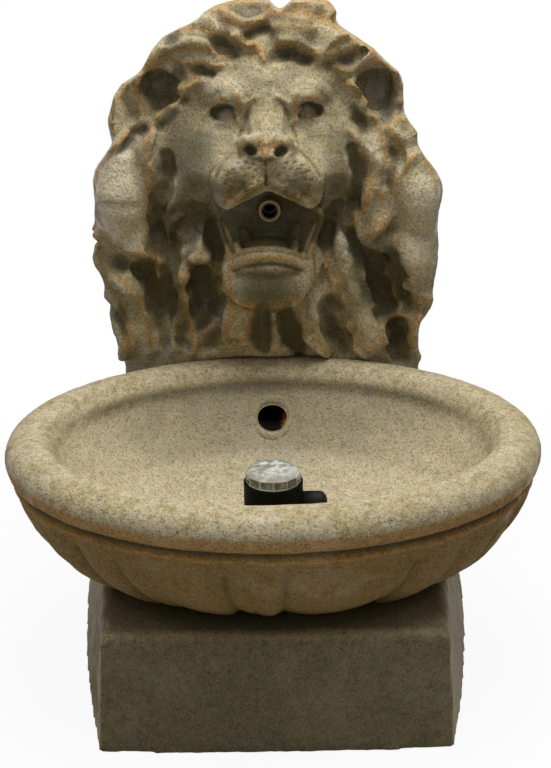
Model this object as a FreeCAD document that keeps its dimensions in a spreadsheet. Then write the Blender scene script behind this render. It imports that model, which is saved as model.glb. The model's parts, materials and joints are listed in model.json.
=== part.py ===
import FreeCAD, Part
import math
import os
import re
import Sketcher
from FreeCAD import Placement, Rotation, Vector

# Wall fountain: a lion's head spills into an oval basin on a pedestal tank.
# Origin: on the ground, under the middle of the basin. X right, Y to the wall, Z up. Millimetres.
# A piece that cuts a hole starts and ends a little past the faces that it cuts.

doc = FreeCAD.newDocument("WallFountain")

SIZES = [
    # pedestal, which is also the water tank
    ("pedestal_height", 98, "ground to deck"),
    ("pedestal_front", 134, "basin centre to the middle of the pedestal's front face"),
    ("wall_plane", 200, "basin centre to the wall that the back stands against"),
    ("base_front_half", 131, "half width at the ground, front corners"),
    ("base_mid_half", 157, "half width at the ground, half way back"),
    ("base_back_half", 166, "half width at the ground, at the wall"),
    ("deck_front_half", 126, "half width of the deck, front corners"),
    ("deck_mid_half", 137, "half width of the deck, half way back"),
    ("deck_back_half", 143, "half width of the deck, at the wall"),
    ("front_bulge", 5, "how far the middle of the front stands before its corners"),
    ("deck_bevel", 6, "worn edge round the deck"),
    ("tank_wall", 14, "pedestal wall"),
    ("tank_floor", 12, "pedestal floor"),
    ("deck_slab", 10, "thickness of the deck"),
    # service opening and its cover
    ("service_half", 60, "half width of the opening in the back"),
    ("service_sill", 50, "height of the opening's lower edge, above the water"),
    ("deck_slot_depth", 54, "how far the slot in the deck reaches in from the wall"),
    ("cover_half", 80, "half width of the rear cover"),
    ("cover_bottom", 40, "height of the cover's lower edge"),
    ("cover_sunk", 3, "cover's face behind the wall plane"),
    ("cover_thick", 3, "cover plate"),
    ("cover_round", 12, "corner radius of the cover"),
    ("cover_gap", 0.6, "gap round the cover in its rebate"),
    ("gasket_thick", 1.5, "foam gasket under the cover"),
    ("gasket_in", 1, "gasket's edges inside the cover's and outside the opening's"),
    ("screw_inset", 9, "cover edge to screw"),
    ("screw_low", 62, "height of the lowest screws"),
    ("screw_radius", 2, "M4 screw"),
    ("screw_length", 9, "length under the head"),
    ("head_radius", 3.8, "screw head"),
    ("head_thick", 2.4, "screw head"),
    ("insert_radius", 3, "brass insert"),
    ("insert_length", 6.5, "brass insert"),
    ("fit_gap", 0.1, "clearance of a screw or an insert in its hole"),
    ("cord_bore", 3.6, "radius of the hole for the supply cord"),
    ("grommet_radius", 6, "grommet in the cover"),
    ("grommet_lip", 1.6, "how far the grommet's flanges overhang"),
    ("grommet_flange", 1.2, "thickness of a grommet flange"),
    ("cord_offset", 42, "grommet to the middle of the back"),
    ("cord_height", 70, "height of the grommet"),
    # basin
    ("bond_thick", 2, "adhesive between basin and deck"),
    ("bond_gap", 0.4, "adhesive line between basin and lion back"),
    ("bond_inset", 6, "edge of the adhesive bed inside the basin's foot"),
    ("bond_width", 30, "width of the ring of adhesive"),
    ("basin_height", 106, "basin foot to crest of the rim"),
    ("crest_half_width", 188, "rim crest, half width"),
    ("crest_half_depth", 152, "rim crest, half depth"),
    ("lip_out", 17, "how far the lip overhangs the crest line"),
    ("lip_drop", 27, "crest to the lip's lower edge"),
    ("groove_out", 6, "groove under the lip, from the crest line"),
    ("bead_out", 10, "bead under the groove, from the crest line"),
    ("bead_thick", 5, "height of the bead"),
    ("bead_round", 1.5, "how far the bead's edges draw in"),
    ("groove_high", 4, "height of the groove"),
    ("foot_in", 50, "foot, inside the crest line"),
    ("lobe_bulge", 5, "how far a lobe swells past its valleys"),
    ("front_lobe", 10.2, "width of the front lobe, degrees"),
    ("broad_lobe", 22.2, "width of the lobes beside it, degrees"),
    ("side_lobe_count", 7, "lobes on each side behind those"),
    ("inner_rim_in", 14, "inner edge of the rim, inside the crest line"),
    ("rim_roll", 5, "how far the wall draws in just under the inner edge"),
    ("basin_depth", 90, "crest to the basin's floor"),
    ("floor_in", 104, "edge of the flat floor, inside the crest line"),
    # return hole
    ("return_bore", 11.8, "radius inside the return sleeve"),
    ("return_wall", 1.2, "wall of the return sleeve"),
    ("return_drop", 41, "crest to the middle of the return hole"),
    ("return_front", 116, "front end of the return sleeve"),
    ("sleeve_short", 5, "end of the sleeve before the hollow behind it"),
    # lion back
    ("column_half", 125, "half width of the column behind the basin"),
    ("column_depth", 49, "depth of the column at the rim of the basin"),
    ("column_foot_depth", 60, "depth of the column at the deck"),
    ("mane_half", 147, "half width of the mane"),
    ("mane_depth", 56, "depth of the mane before its relief"),
    ("mane_widest", 350, "height of the mane's widest line"),
    ("mane_top", 507, "height of the mane's top"),
    ("mane_swell", 60, "height in which the mane swells out above the rim"),
    ("crown_cut", 2, "flat top of the casting under the mane's peak"),
    ("mane_wave", 4.5, "how far the locks scallop the mane's outline"),
    ("mane_wave_pitch", 62, "height of one scallop"),
    ("cavity_front", 174, "front of the hollow behind the basin"),
    ("cavity_low_front", 148, "front of that hollow at the deck"),
    ("hollow_below", 22, "cover's upper edge to the top of that hollow"),
    ("hollow_half", 58, "half width of the hollow in the head"),
    ("hollow_depth", 63, "depth of the hollow in the head"),
    ("hollow_half_high", 84, "half height of the hollow in the head"),
    # mouth, spout and hose
    ("spout_height", 344, "height of the spout"),
    ("mouth_half", 37, "half width of the open mouth"),
    ("mouth_half_high", 28, "half height of the open mouth"),
    ("mouth_back", 126, "back wall of the mouth"),
    ("mouth_drop", 3, "middle of the mouth under the spout"),
    ("mouth_front", 70, "front of the space cut for the mouth"),
    ("spout_front", 114, "front end of the spout"),
    ("spout_radius", 8.7, "outside of the spout"),
    ("spout_bore", 6, "inside of the spout"),
    ("spout_lodge", 9, "how far the spout is let in behind the mouth"),
    ("spout_step", 5, "tail's narrow bore before the spout's shoulder"),
    ("barb_bore", 4.6, "inside of the spout's tail"),
    ("barb_length", 12, "length of the spout's tail"),
    ("hose_bore", 6.35, "inside of the hose"),
    ("hose_wall", 2.4, "wall of the hose"),
    ("hose_line", 184, "distance of the rising hose from the basin centre"),
    ("hose_fit", 0.05, "clearance of the hose on its nipples"),
    ("hose_end_gap", 0.2, "hose end to the shoulder that it is pushed up to"),
    ("hose_first_rise", 38, "straight rise out of the pump"),
    ("sway_low", 36, "lower turn of the hose, below the crest of the rim"),
    ("sway_high", 44, "upper turn of the hose, above the crest of the rim"),
    ("hose_bend", 40, "radius of the hose's bend into the spout"),
    ("sway_bend", 90, "radius of the gentle bends low down"),
    ("wide_bend", 270, "radius of the last gentle bend"),
    # pump
    ("pump_side", 20, "outlet to the middle of the fountain"),
    ("pump_line", 160, "outlet to the basin centre"),
    ("pump_body_length", 44, "motor body"),
    ("pump_body_side", 42, "width and height of the motor body"),
    ("pump_body_round", 6, "edges of the motor body"),
    ("chamber_length", 18, "impeller chamber"),
    ("chamber_radius", 19, "outside of the impeller chamber"),
    ("chamber_bore", 15.5, "inside of the impeller chamber"),
    ("pump_foot", 5, "suction cups under the pump"),
    ("cup_radius", 7, "suction cup"),
    ("cup_end", 8, "suction cup to the end of the motor body"),
    ("cup_side", 2, "suction cup to the side of the motor body"),
    ("nipple_length", 20, "outlet nipple above the chamber"),
    ("nipple_collar", 2.8, "collar of the nipple above the chamber"),
    ("nipple_bore", 4.8, "inside of the outlet nipple"),
    ("rotor_radius", 9, "magnet rotor"),
    ("rotor_length", 27, "magnet rotor"),
    ("rotor_lead", 0.5, "how far the rotor stands out of its well"),
    ("rotor_end_gap", 1, "room behind the rotor"),
    ("well_gap", 0.8, "gap round the rotor in its well"),
    ("shaft_radius", 1.25, "ceramic shaft"),
    ("shaft_play", 0.05, "running clearance on the shaft"),
    ("bush_radius", 3.4, "rubber bush"),
    ("bush_length", 4, "rubber bush"),
    ("bush_wall", 1.5, "boss round the front bush"),
    ("shaft_in", 2.5, "how far the shaft reaches past the chamber"),
    ("hub_wall", 3, "impeller hub round the shaft"),
    ("hub_past", 3, "hub beyond the vanes' length"),
    ("vane_gap", 2.5, "back of the chamber to the vanes"),
    ("vane_radius", 13, "impeller vanes"),
    ("vane_length", 8, "impeller vanes"),
    ("vane_thick", 1.6, "impeller vanes"),
    ("vane_count", 6, "impeller vanes"),
    ("chamber_lid", 2.5, "plate that closes the chamber"),
    ("lid_eye", 2.9, "radius of an inlet in that plate"),
    ("lid_eyes", 3, "number of inlets"),
    ("eye_web", 0.6, "boss to the edge of an inlet"),
    ("seal_thick", 1.0, "radius of the chamber seal's section"),
    ("seal_in", 1.8, "chamber bore to the middle of the seal"),
    ("intake_length", 16, "intake cover"),
    ("intake_wall", 1.8, "wall of the intake cover"),
    ("intake_slot", 2.2, "width of an intake slot"),
    ("intake_slots", 5, "number of intake slots"),
    ("slot_start", 3, "chamber plate to the slots"),
    ("slot_end", 4, "slots to the end of the intake cover"),
    ("dial_radius", 8, "flow dial"),
    ("dial_thick", 5, "flow dial"),
    ("dial_stem", 3, "stem of the flow dial"),
    ("keeper_thick", 2, "collar that keeps the dial in the intake cover"),
    ("keeper_rim", 2, "that collar beyond the stem"),
    ("grip_rise", 3, "grip on the dial"),
    ("grip_half", 1.5, "half thickness of the grip"),
    ("grip_in", 1, "grip's ends inside the dial's edge"),
    ("run_gap", 0.3, "gap round parts that turn by hand"),
    # light
    ("light_radius", 23, "housing of the light"),
    ("light_wall", 2.4, "wall of the housing"),
    ("light_height", 37, "housing of the light"),
    ("light_foot_height", 6.5, "rubber foot of the light"),
    ("light_foot_radius", 17, "rubber foot of the light"),
    ("light_foot_taper", 5, "how much the foot narrows"),
    ("lens_radius", 21.4, "clear lens"),
    ("lens_height", 8.5, "faceted side of the lens"),
    ("lens_dome", 3, "rise of the lens's crown"),
    ("lens_crown", 1.35, "half width of the crown's curve, in lens radii"),
    ("lens_wall", 2.6, "wall of the lens"),
    ("lens_facets", 12, "flats round the lens"),
    ("lens_spigot", 6, "how far the lens reaches into the housing"),
    ("board_thick", 1.6, "circuit board"),
    ("board_below", 9, "board under the housing's rim"),
    ("board_ledge", 3, "ledge that carries the board"),
    ("led_radius", 2.5, "light-emitting diode"),
    ("led_count", 6, "diodes in the ring"),
    ("led_ring", 11, "radius of the ring of diodes"),
    ("light_seal_thick", 0.8, "radius of the lens seal's section"),
    ("gland_radius", 6.5, "rubber cable gland at the light's side"),
    ("gland_reach", 42, "light's axis to the end of the gland"),
    ("gland_drop", 18, "housing rim to the gland's axis"),
    ("gland_wall", 1.5, "boss round the gland"),
    ("gland_boss", 3, "boss beyond the housing"),
    ("gland_seat", 4, "gland's hole inside the housing's wall"),
    # hanger
    ("hanger_half", 24, "half width of the hanger plate"),
    ("hanger_high", 20, "height of the hanger plate"),
    ("hanger_drop", 43, "mane's top to the middle of the hanger plate"),
    ("hanger_height", "=mane_top - hanger_drop", "height of the hanger plate's middle"),
    ("hanger_thick", 1.5, "hanger plate"),
    ("hanger_sunk", 3, "hanger plate behind the wall plane"),
    ("hanger_screw_offset", 16, "hanger screw to the keyhole"),
    ("keyhole_radius", 4.5, "round end of the keyhole"),
    ("keyhole_slot", 2.4, "half width of the keyhole's slot"),
    ("keyhole_depth", 9, "room behind the keyhole for a screw head"),
    ("keyhole_margin", 2, "plate's edge lapping that room"),
    ("keyhole_drop", 4, "round end below the plate's middle"),
    ("slot_margin", 4, "slot's end to the plate's upper edge"),
    # sizes that follow the hanger, so that the cover stays below it
    ("cover_below", 10, "hanger plate's lower edge to the cover's upper edge"),
    ("cover_top", "=hanger_height - hanger_high / 2 - cover_below", "height of the cover's upper edge"),
    ("screw_top", 16, "cover's upper edge to its highest screws"),
    ("screw_rise", "=(cover_top - screw_top - screw_low) / 2", "rise from one pair of screws to the next"),
    ("head_margin", 15, "cover's upper edge to the ceiling of the head's hollow"),
]

# Relief of the lion, on the front of its casting. Each form is a rounded rise with its own place.
# x is 0 on the middle line, otherwise the form stands on both sides.
# name, x, height, rise, half width, half height, lean in degrees
RELIEF = [
    ("face", 0, 388, 26, 102, 106, 0),
    ("bridge", 0, 424, 13, 23, 50, 0),
    ("forehead", 18, 458, 9, 32, 26, 0),
    ("brow", 35, 439, 15, 26, 12, -16),
    ("socket", 33, 421, -13, 19, 14, 0),
    ("eyeball", 33, 420, 10, 12, 9, 0),
    ("cheek", 64, 380, 14, 32, 44, 0),
    ("muzzle", 0, 376, 28, 58, 38, 0),
    ("pad", 23, 374, 14, 26, 22, 0),
    ("nose", 0, 397, 13, 25, 14, 0),
    ("philtrum", 0, 375, -9, 6, 17, 0),
    ("jaw", 0, 294, 42, 48, 36, 0),
    ("lower_lip", 0, 308, 8, 40, 10, 0),
    ("beard", 0, 238, 14, 34, 40, 0),
    ("beard_lock", 41, 248, 28, 14, 44, -8),
    ("ear", 87, 438, 34, 29, 32, 0),
    ("ear_cup", 87, 434, -28, 18, 21, 0),
    ("crown_lock", 22, 488, 22, 26, 24, 24),
    ("top_lock", 56, 476, 22, 28, 19, -38),
    ("brow_lock", 60, 458, 14, 24, 13, -40),
    ("temple_lock", 108, 462, 20, 22, 22, -30),
    ("shoulder_lock", 126, 404, 26, 20, 40, 8),
    ("side_lock", 122, 350, 30, 26, 46, -10),
    ("flank_lock", 116, 288, 28, 22, 44, -16),
    ("cheek_lock", 99, 390, 18, 12, 38, 4),
    ("whisker_lock", 84, 334, 22, 15, 42, -8),
    ("throat_lock", 76, 276, 22, 15, 42, -10),
    ("hem_lock", 120, 236, 22, 17, 32, -12),
    ("chest_lock", 84, 230, 20, 15, 30, -8),
    ("jaw_lock", 56, 306, 17, 12, 38, -4),
    ("pocket", 100, 304, -16, 10, 36, -12),
]
RELIEF_FIELDS = ("x", "high", "rise", "wide", "tall", "lean")

sheet = doc.addObject("Spreadsheet::Sheet", "Sizes")
ALIASES = {}


def write_cell(alias, value, note):
    row = len(ALIASES) + 1
    sheet.set("A%d" % row, note)
    sheet.set("B%d" % row, str(value))
    sheet.setAlias("B%d" % row, alias)
    ALIASES[alias] = row


for alias, value, note in SIZES:
    write_cell(alias, value, note)
for form in RELIEF:
    for field, value in zip(RELIEF_FIELDS, form[1:]):
        write_cell("%s_%s" % (form[0], field), value, "relief: " + form[0].replace("_", " "))
doc.recompute()


def size(alias):
    return float(sheet.get(alias))


def formula(text):
    """Put the sheet's name before each alias in an expression."""
    return re.sub(r"[a-z_]+", lambda word: "Sizes." + word[0] if word[0] in ALIASES else word[0], text)


def bind(thing, **properties):
    for name, text in properties.items():
        thing.setExpression(name, formula(text))


def place(thing, x="0", y="0", z="0"):
    for axis, text in (("x", x), ("y", y), ("z", z)):
        if text != "0":
            thing.setExpression("Placement.Base." + axis, formula(text))


TURNS = {
    "X": Rotation(Vector(0, 1, 0), 90),
    "-X": Rotation(Vector(0, 1, 0), -90),
    "Y": Rotation(Vector(1, 0, 0), -90),
    "-Y": Rotation(Vector(1, 0, 0), 90),
    "Z": Rotation(),
    "-Z": Rotation(Vector(1, 0, 0), 180),
}


def block(name, x, y, z):
    """A box between two bounds on each axis."""
    thing = doc.addObject("Part::Box", name)
    bind(thing, Length="(%s) - (%s)" % (x[1], x[0]), Width="(%s) - (%s)" % (y[1], y[0]))
    bind(thing, Height="(%s) - (%s)" % (z[1], z[0]))
    place(thing, x[0], y[0], z[0])
    return thing


def rod(name, axis, radius, length, x="0", y="0", z="0"):
    """A cylinder that starts at a point and runs along an axis."""
    thing = doc.addObject("Part::Cylinder", name)
    thing.Placement = Placement(Vector(), TURNS[axis])
    bind(thing, Radius=radius, Height=length)
    place(thing, x, y, z)
    return thing


def ring(name, axis, radius, section, x="0", y="0", z="0"):
    thing = doc.addObject("Part::Torus", name)
    thing.Placement = Placement(Vector(), TURNS[axis])
    bind(thing, Radius1=radius, Radius2=section)
    place(thing, x, y, z)
    return thing


def ball(name, half_x, half_y, half_z, x="0", y="0", z="0"):
    thing = doc.addObject("Part::Ellipsoid", name)
    thing.Angle1 = -90
    thing.Angle2 = 90
    thing.Angle3 = 360
    bind(thing, Radius1=half_z, Radius2=half_x, Radius3=half_y)
    place(thing, x, y, z)
    return thing


def fuse(name, parts):
    thing = doc.addObject("Part::MultiFuse", name)
    thing.Shapes = parts
    return thing


def cut(name, base, tools):
    tool = tools[0] if len(tools) == 1 else fuse(name + "_tools", tools)
    thing = doc.addObject("Part::Cut", name)
    thing.Base = base
    thing.Tool = tool
    return thing


def group(name, parts):
    thing = doc.addObject("Part::Compound", name)
    thing.Links = parts
    return thing


def solid(name, shape):
    thing = doc.addObject("Part::Feature", name)
    thing.Shape = shape
    return thing


NODES = []


def node(label, thing):
    thing.Label = label
    NODES.append((label, thing))
    return thing


def new_body(name):
    return doc.addObject("PartDesign::Body", name)


def sketch_on(body, name, role):
    sketch = body.newObject("Sketcher::SketchObject", name)
    plane = [item for item in body.Origin.OriginFeatures if item.Role == role][0]
    sketch.AttachmentSupport = [(plane, "")]
    sketch.MapMode = "FlatFace"
    return sketch


def pin_point(sketch, edge, corner, across, along):
    """Hold one end of a sketch edge at two expressions from the origin."""
    for kind, text in (("DistanceX", across), ("DistanceY", along)):
        index = sketch.addConstraint(Sketcher.Constraint(kind, -1, 1, edge, corner, 1.0))
        sketch.setExpression("Constraints[%d]" % index, formula(text))


def outline(sketch, points):
    """A closed outline of straight lines whose corners are pairs of expressions."""
    count = len(points)
    turn = 2 * math.pi / count
    start = [Vector(20 + 10 * math.cos(turn * i), 20 + 10 * math.sin(turn * i), 0) for i in range(count)]
    first = sketch.GeometryCount
    for i in range(count):
        sketch.addGeometry(Part.LineSegment(start[i], start[(i + 1) % count]))
    for i in range(count):
        sketch.addConstraint(Sketcher.Constraint("Coincident", first + i, 2, first + (i + 1) % count, 1))
    for i, (across, along) in enumerate(points):
        pin_point(sketch, first + i, 1, across, along)


def circle(sketch, across, along, radius):
    edge = sketch.addGeometry(Part.Circle(Vector(5, 5, 0), Vector(0, 0, 1), 2))
    index = sketch.addConstraint(Sketcher.Constraint("Radius", edge, 2.0))
    sketch.setExpression("Constraints[%d]" % index, formula(radius))
    pin_point(sketch, edge, 3, across, along)


def ellipse_wire(half_x, half_y, z):
    curve = Part.Ellipse(Vector(0, 0, z), half_x, half_y)
    return Part.Wire([curve.toShape()])


def side_arc(first, middle, last):
    return Part.Arc(first, middle, last).toShape()


def pedestal_wire(front_half, mid_half, back_half, inset, z):
    """Plan of the pedestal: three rounded sides and a straight back."""
    front = -(size("pedestal_front") - size("front_bulge") - inset)
    back = size("wall_plane") - inset
    middle = (front + back) / 2
    halves = [half - inset for half in (front_half, mid_half, back_half)]
    left_front = Vector(-halves[0], front, z)
    right_front = Vector(halves[0], front, z)
    right_back = Vector(halves[2], back, z)
    left_back = Vector(-halves[2], back, z)
    return Part.Wire([
        side_arc(left_front, Vector(0, front - size("front_bulge"), z), right_front),
        side_arc(right_front, Vector(halves[1], middle, z), right_back),
        Part.LineSegment(right_back, left_back).toShape(),
        side_arc(left_back, Vector(-halves[1], middle, z), left_front),
    ])


def base_wire(inset, z):
    return pedestal_wire(size("base_front_half"), size("base_mid_half"), size("base_back_half"), inset, z)


def deck_wire(inset, z):
    return pedestal_wire(size("deck_front_half"), size("deck_mid_half"), size("deck_back_half"), inset, z)


COVER_BOX = {"x": ("-cover_half - cover_gap", "cover_half + cover_gap"),
             "z": ("cover_bottom - cover_gap", "cover_top + cover_gap")}
REBATE_FRONT = "wall_plane - cover_sunk - cover_thick - gasket_thick"


def cover_rebate(name):
    """Recess in the back that takes the cover and its gasket."""
    return block(name, COVER_BOX["x"], (REBATE_FRONT, "wall_plane + 1"), COVER_BOX["z"])


HANGER_LOW = "hanger_height - hanger_high / 2"
HANGER_TOP = "hanger_height + hanger_high / 2"
HANGER_SCREWS = ("hanger_screw_offset", "-hanger_screw_offset")
SCREW_ROWS = ["screw_low", "screw_low + screw_rise", "screw_low + 2 * screw_rise"]
SCREW_PLACES = [(side + "(cover_half - screw_inset)", row) for row in SCREW_ROWS for side in ("", "-")]


def insert_holes(name, places):
    return [rod("%s_%d" % (name, i), "Y", "insert_radius + fit_gap", "insert_length + 1",
                x, "%s - insert_length" % REBATE_FRONT, z)
            for i, (x, z) in enumerate(places)]


def make_pedestal():
    high = size("pedestal_height")
    bevel = size("deck_bevel")
    outer = Part.makeLoft([base_wire(0, 0), deck_wire(0, high - bevel), deck_wire(bevel, high)], True, True)
    wall = size("tank_wall")
    ceiling = deck_wire(wall, high - size("deck_slab"))
    inner = Part.makeLoft([base_wire(wall, size("tank_floor")), ceiling], True, True)
    shell = solid("pedestal_blank", outer.cut(inner))
    service = block("service_opening", ("-service_half", "service_half"),
                    ("wall_plane - 2 * tank_wall", "wall_plane + 1"),
                    ("service_sill", "pedestal_height + 1"))
    slot = block("deck_slot", ("-service_half", "service_half"),
                 ("wall_plane - deck_slot_depth", "wall_plane + 1"),
                 ("pedestal_height - deck_slab - 1", "pedestal_height + 1"))
    channel = block("cord_channel", ("-cord_offset - cord_bore - 1", "-cord_offset + cord_bore + 1"),
                    ("wall_plane - cover_sunk - cover_thick", "wall_plane + 1"), ("-1", "cover_bottom + 1"))
    rebate = cover_rebate("pedestal_rebate")
    holes = insert_holes("pedestal_insert_hole", SCREW_PLACES[:2])
    node("pedestal", cut("pedestal", shell, [service, slot, channel, rebate] + holes))


CREST = "(pedestal_height + bond_thick + basin_height)"


def basin_foot():
    return size("pedestal_height") + size("bond_thick")


def basin_crest():
    return basin_foot() + size("basin_height")


def ring_wire(out, drop):
    """Ellipse of the basin at a distance outside the crest line and a drop below it."""
    return ellipse_wire(size("crest_half_width") + out, size("crest_half_depth") + out, basin_crest() - drop)


def lip_rings(grow):
    """Rounded section of the rolled lip, from the crest down to its lower edge."""
    out = size("lip_out")
    drop = size("lip_drop")
    return [ring_wire(-size("inner_rim_in") / 2 + grow, -grow),
            ring_wire(0 + grow, 0.02 * drop - grow),
            ring_wire(0.55 * out + grow, 0.12 * drop - grow),
            ring_wire(0.9 * out + grow, 0.36 * drop),
            ring_wire(out + grow, 0.62 * drop),
            ring_wire(0.9 * out + grow, 0.85 * drop),
            ring_wire(0.6 * out + grow, drop + grow)]


def lobe_bounds():
    """Angles of the valleys between the lobes, symmetric about the front."""
    bounds = [size("front_lobe") / 2, size("front_lobe") / 2 + size("broad_lobe")]
    count = int(size("side_lobe_count"))
    step = (180 - bounds[1]) / (count + 0.5)
    bounds += [bounds[1] + step * (i + 1) for i in range(count)]
    return [-angle for angle in reversed(bounds)] + bounds


def lobe_wire(out, drop, bulge):
    """Scalloped section under the bead: an arc for each lobe."""
    half_x = size("crest_half_width") + out
    half_y = size("crest_half_depth") + out
    z = basin_crest() - drop

    def point(angle, grow):
        turn = math.radians(angle)
        return Vector((half_x + grow) * math.sin(turn), -(half_y + grow) * math.cos(turn), z)

    bounds = lobe_bounds()
    bounds.append(bounds[0] + 360)
    arcs = [side_arc(point(low, 0), point((low + high) / 2, bulge), point(high, 0))
            for low, high in zip(bounds, bounds[1:])]
    return Part.Wire(arcs)


def bead_levels():
    top = size("lip_drop") + size("groove_high")
    return top, top + size("bead_thick")


def belly_rings():
    """Offsets and drops of the underside, from the bead to the foot."""
    low = bead_levels()[1]
    high = size("basin_height")
    fall = high - low
    foot = -size("foot_in")
    start = size("bead_out") - size("lobe_bulge")
    return [(start, low), (start + 0.12 * (foot - start), low + 0.3 * fall),
            (start + 0.38 * (foot - start), low + 0.62 * fall),
            (start + 0.72 * (foot - start), low + 0.86 * fall), (foot, high)]


def basin_outside(grow):
    """Outside of the basin as plain solids; a positive grow gives its envelope."""
    groove_top = size("lip_drop")
    bead_top, bead_low = bead_levels()
    lip = Part.makeLoft(lip_rings(grow), True, False)
    neck = Part.makeLoft([ring_wire(size("groove_out") + grow, groove_top - size("bead_thick")),
                          ring_wire(size("groove_out") + grow, bead_low)], True, True)
    edge = size("bead_out") - size("bead_round") + grow
    bead = Part.makeLoft([ring_wire(edge, bead_top - grow),
                          ring_wire(size("bead_out") + grow, (bead_top + bead_low) / 2),
                          ring_wire(edge, bead_low + grow)], True, True)
    return lip, neck, bead


def basin_inside():
    rim = size("inner_rim_in")
    deep = size("basin_depth")
    floor = size("floor_in")
    steps = [(-0.5 * rim, -1), (-0.5 * rim, 0), (-rim, 0.03 * deep), (-rim - size("rim_roll"), 0.11 * deep),
             (-0.25 * floor, 0.31 * deep), (-0.36 * floor, 0.52 * deep), (-0.52 * floor, 0.73 * deep),
             (-0.74 * floor, 0.89 * deep), (-0.9 * floor, 0.975 * deep), (-floor, deep)]
    return Part.makeLoft([ring_wire(out, drop) for out, drop in steps], True, True)


def make_basin():
    lip, neck, bead = basin_outside(0)
    bulge = size("lobe_bulge")
    belly = Part.makeLoft([lobe_wire(out, drop, bulge) for out, drop in belly_rings()], True, False)
    blank = solid("basin_blank", lip.fuse([neck, bead, belly]).cut(basin_inside()))
    hole = rod("return_hole", "Y", "return_bore + return_wall", "wall_plane - return_front",
               "0", "return_front - 20", "%s - return_drop" % CREST)
    node("basin", cut("basin", blank, [hole]))
    bed_drop = size("basin_height") + size("bond_thick")
    bed_out = -size("foot_in") - size("bond_inset")
    rise = Vector(0, 0, size("bond_thick"))
    pad = Part.Face(ring_wire(bed_out, bed_drop)).extrude(rise)
    core = Part.Face(ring_wire(bed_out - size("bond_width"), bed_drop)).extrude(rise)
    node("bond_bed", solid("bond_bed", pad.cut(core)))
    sleeve = cut("return_sleeve",
                 rod("sleeve_outside", "Y", "return_bore + return_wall - bond_gap / 2",
                     "cavity_front - sleeve_short - return_front",
                     "0", "return_front", "%s - return_drop" % CREST),
                 [rod("sleeve_inside", "Y", "return_bore", "cavity_front - return_front + 2",
                      "0", "return_front - 1", "%s - return_drop" % CREST)])
    node("return_sleeve", sleeve)


def relief_forms():
    """The relief's forms as places on the front of the lion, mirrored where they stand on both sides."""
    forms = []
    for form in RELIEF:
        x, high, rise, wide, tall, lean = [size("%s_%s" % (form[0], field)) for field in RELIEF_FIELDS]
        for side in (1,) if x == 0 else (1, -1):
            turn = math.radians(lean * side)
            forms.append((side * x, high, rise, wide, tall, math.cos(turn), math.sin(turn)))
    return forms


def relief_rise(forms, x, high):
    """Sum of the relief's forms at a place on the front of the lion."""
    total = 0
    for middle_x, middle_high, rise, wide, tall, cosine, sine in forms:
        across = x - middle_x
        up = high - middle_high
        along = up * cosine + across * sine
        beside = across * cosine - up * sine
        reach = (beside / wide) ** 2 + (along / tall) ** 2
        if reach < 1:
            total += rise * (1 - reach) ** 1.5
    return total


def mane_half_at(high):
    """Half width of the casting at a height: column, swelling mane with its scallops, rounded top."""
    widest = size("mane_widest")
    half = size("mane_half")
    if high > widest:
        plain = half * (1 - ((high - widest) / (size("mane_top") - widest)) ** 2.3) ** (1 / 2.3)
    else:
        rise = (high - size("pedestal_height")) / (widest - size("pedestal_height"))
        plain = size("column_half") + (half - size("column_half")) * rise * rise * (3 - 2 * rise)
    turn = 2 * math.pi * (high - widest) / size("mane_wave_pitch")
    return plain - size("mane_wave") * (1 - math.cos(turn)) / 2


def mane_depth_at(high):
    """Depth of the casting at a height, before the relief."""
    start = basin_crest()
    if high < start:
        foot = size("column_foot_depth")
        return foot + (size("column_depth") - foot) * (high - size("pedestal_height")) / size("basin_height")
    swell = min(1, (high - start) / size("mane_swell"))
    more = size("mane_depth") - size("column_depth")
    depth = size("column_depth") + more * swell * swell * (3 - 2 * swell)
    top = (high - size("mane_widest")) / (size("mane_top") - size("mane_widest"))
    if top > 0:
        depth *= (1 - top ** 4) ** 0.5
    return depth


ACROSS = 74
ROWS = 72


def even_knots(poles):
    """Knots and their multiplicities of a cubic spline that ends on its first and last poles."""
    knots = [float(i) for i in range(poles - 2)]
    return knots, [4] + [1] * (len(knots) - 2) + [4]


def lion_relief():
    """The front of the lion's casting as one surface, closed by a flat back and ends."""
    low = size("pedestal_height")
    high_end = size("mane_top") - size("crown_cut")
    wall = size("wall_plane")
    forms = relief_forms()
    poles = []
    for j in range(ROWS + 1):
        share = j / ROWS
        high = low + (high_end - low) * (1 - (1 - share) ** 1.25)
        line = []
        for i in range(ACROSS + 1):
            turn = math.pi * (i / ACROSS - 0.5)
            x = mane_half_at(high) * math.sin(turn)
            fade = max(0.0, math.cos(turn)) if 0 < i < ACROSS else 0.0
            out = mane_depth_at(high) * fade ** 0.45 + relief_rise(forms, x, high) * fade ** 0.3
            line.append(Vector(x, wall - out, high))
        poles.append(line)
    row_knots, row_counts = even_knots(ROWS + 1)
    across_knots, across_counts = even_knots(ACROSS + 1)
    surface = Part.BSplineSurface()
    surface.buildFromPolesMultsKnots(poles, row_counts, across_counts, row_knots, across_knots,
                                     False, False, 3, 3)
    front = surface.toShape()
    sides = []
    ends = []
    for edge in front.Edges:
        low_end, high_top = sorted(vertex.Z for vertex in edge.Vertexes)
        if high_top - low_end > 1:
            sides.append(edge)
        else:
            ends.append((edge, Part.LineSegment(edge.Vertexes[0].Point, edge.Vertexes[1].Point).toShape()))
    caps = [Part.Face(Part.Wire([rim, line])) for rim, line in ends]
    back = Part.Face(Part.Wire(Part.__sortEdges__(sides + [line for rim, line in ends])))
    shell = Part.makeShell([front, back] + caps)
    shell.sewShape()
    casting = Part.Solid(shell)
    if casting.Volume < 0:
        casting.reverse()
    return casting


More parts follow.
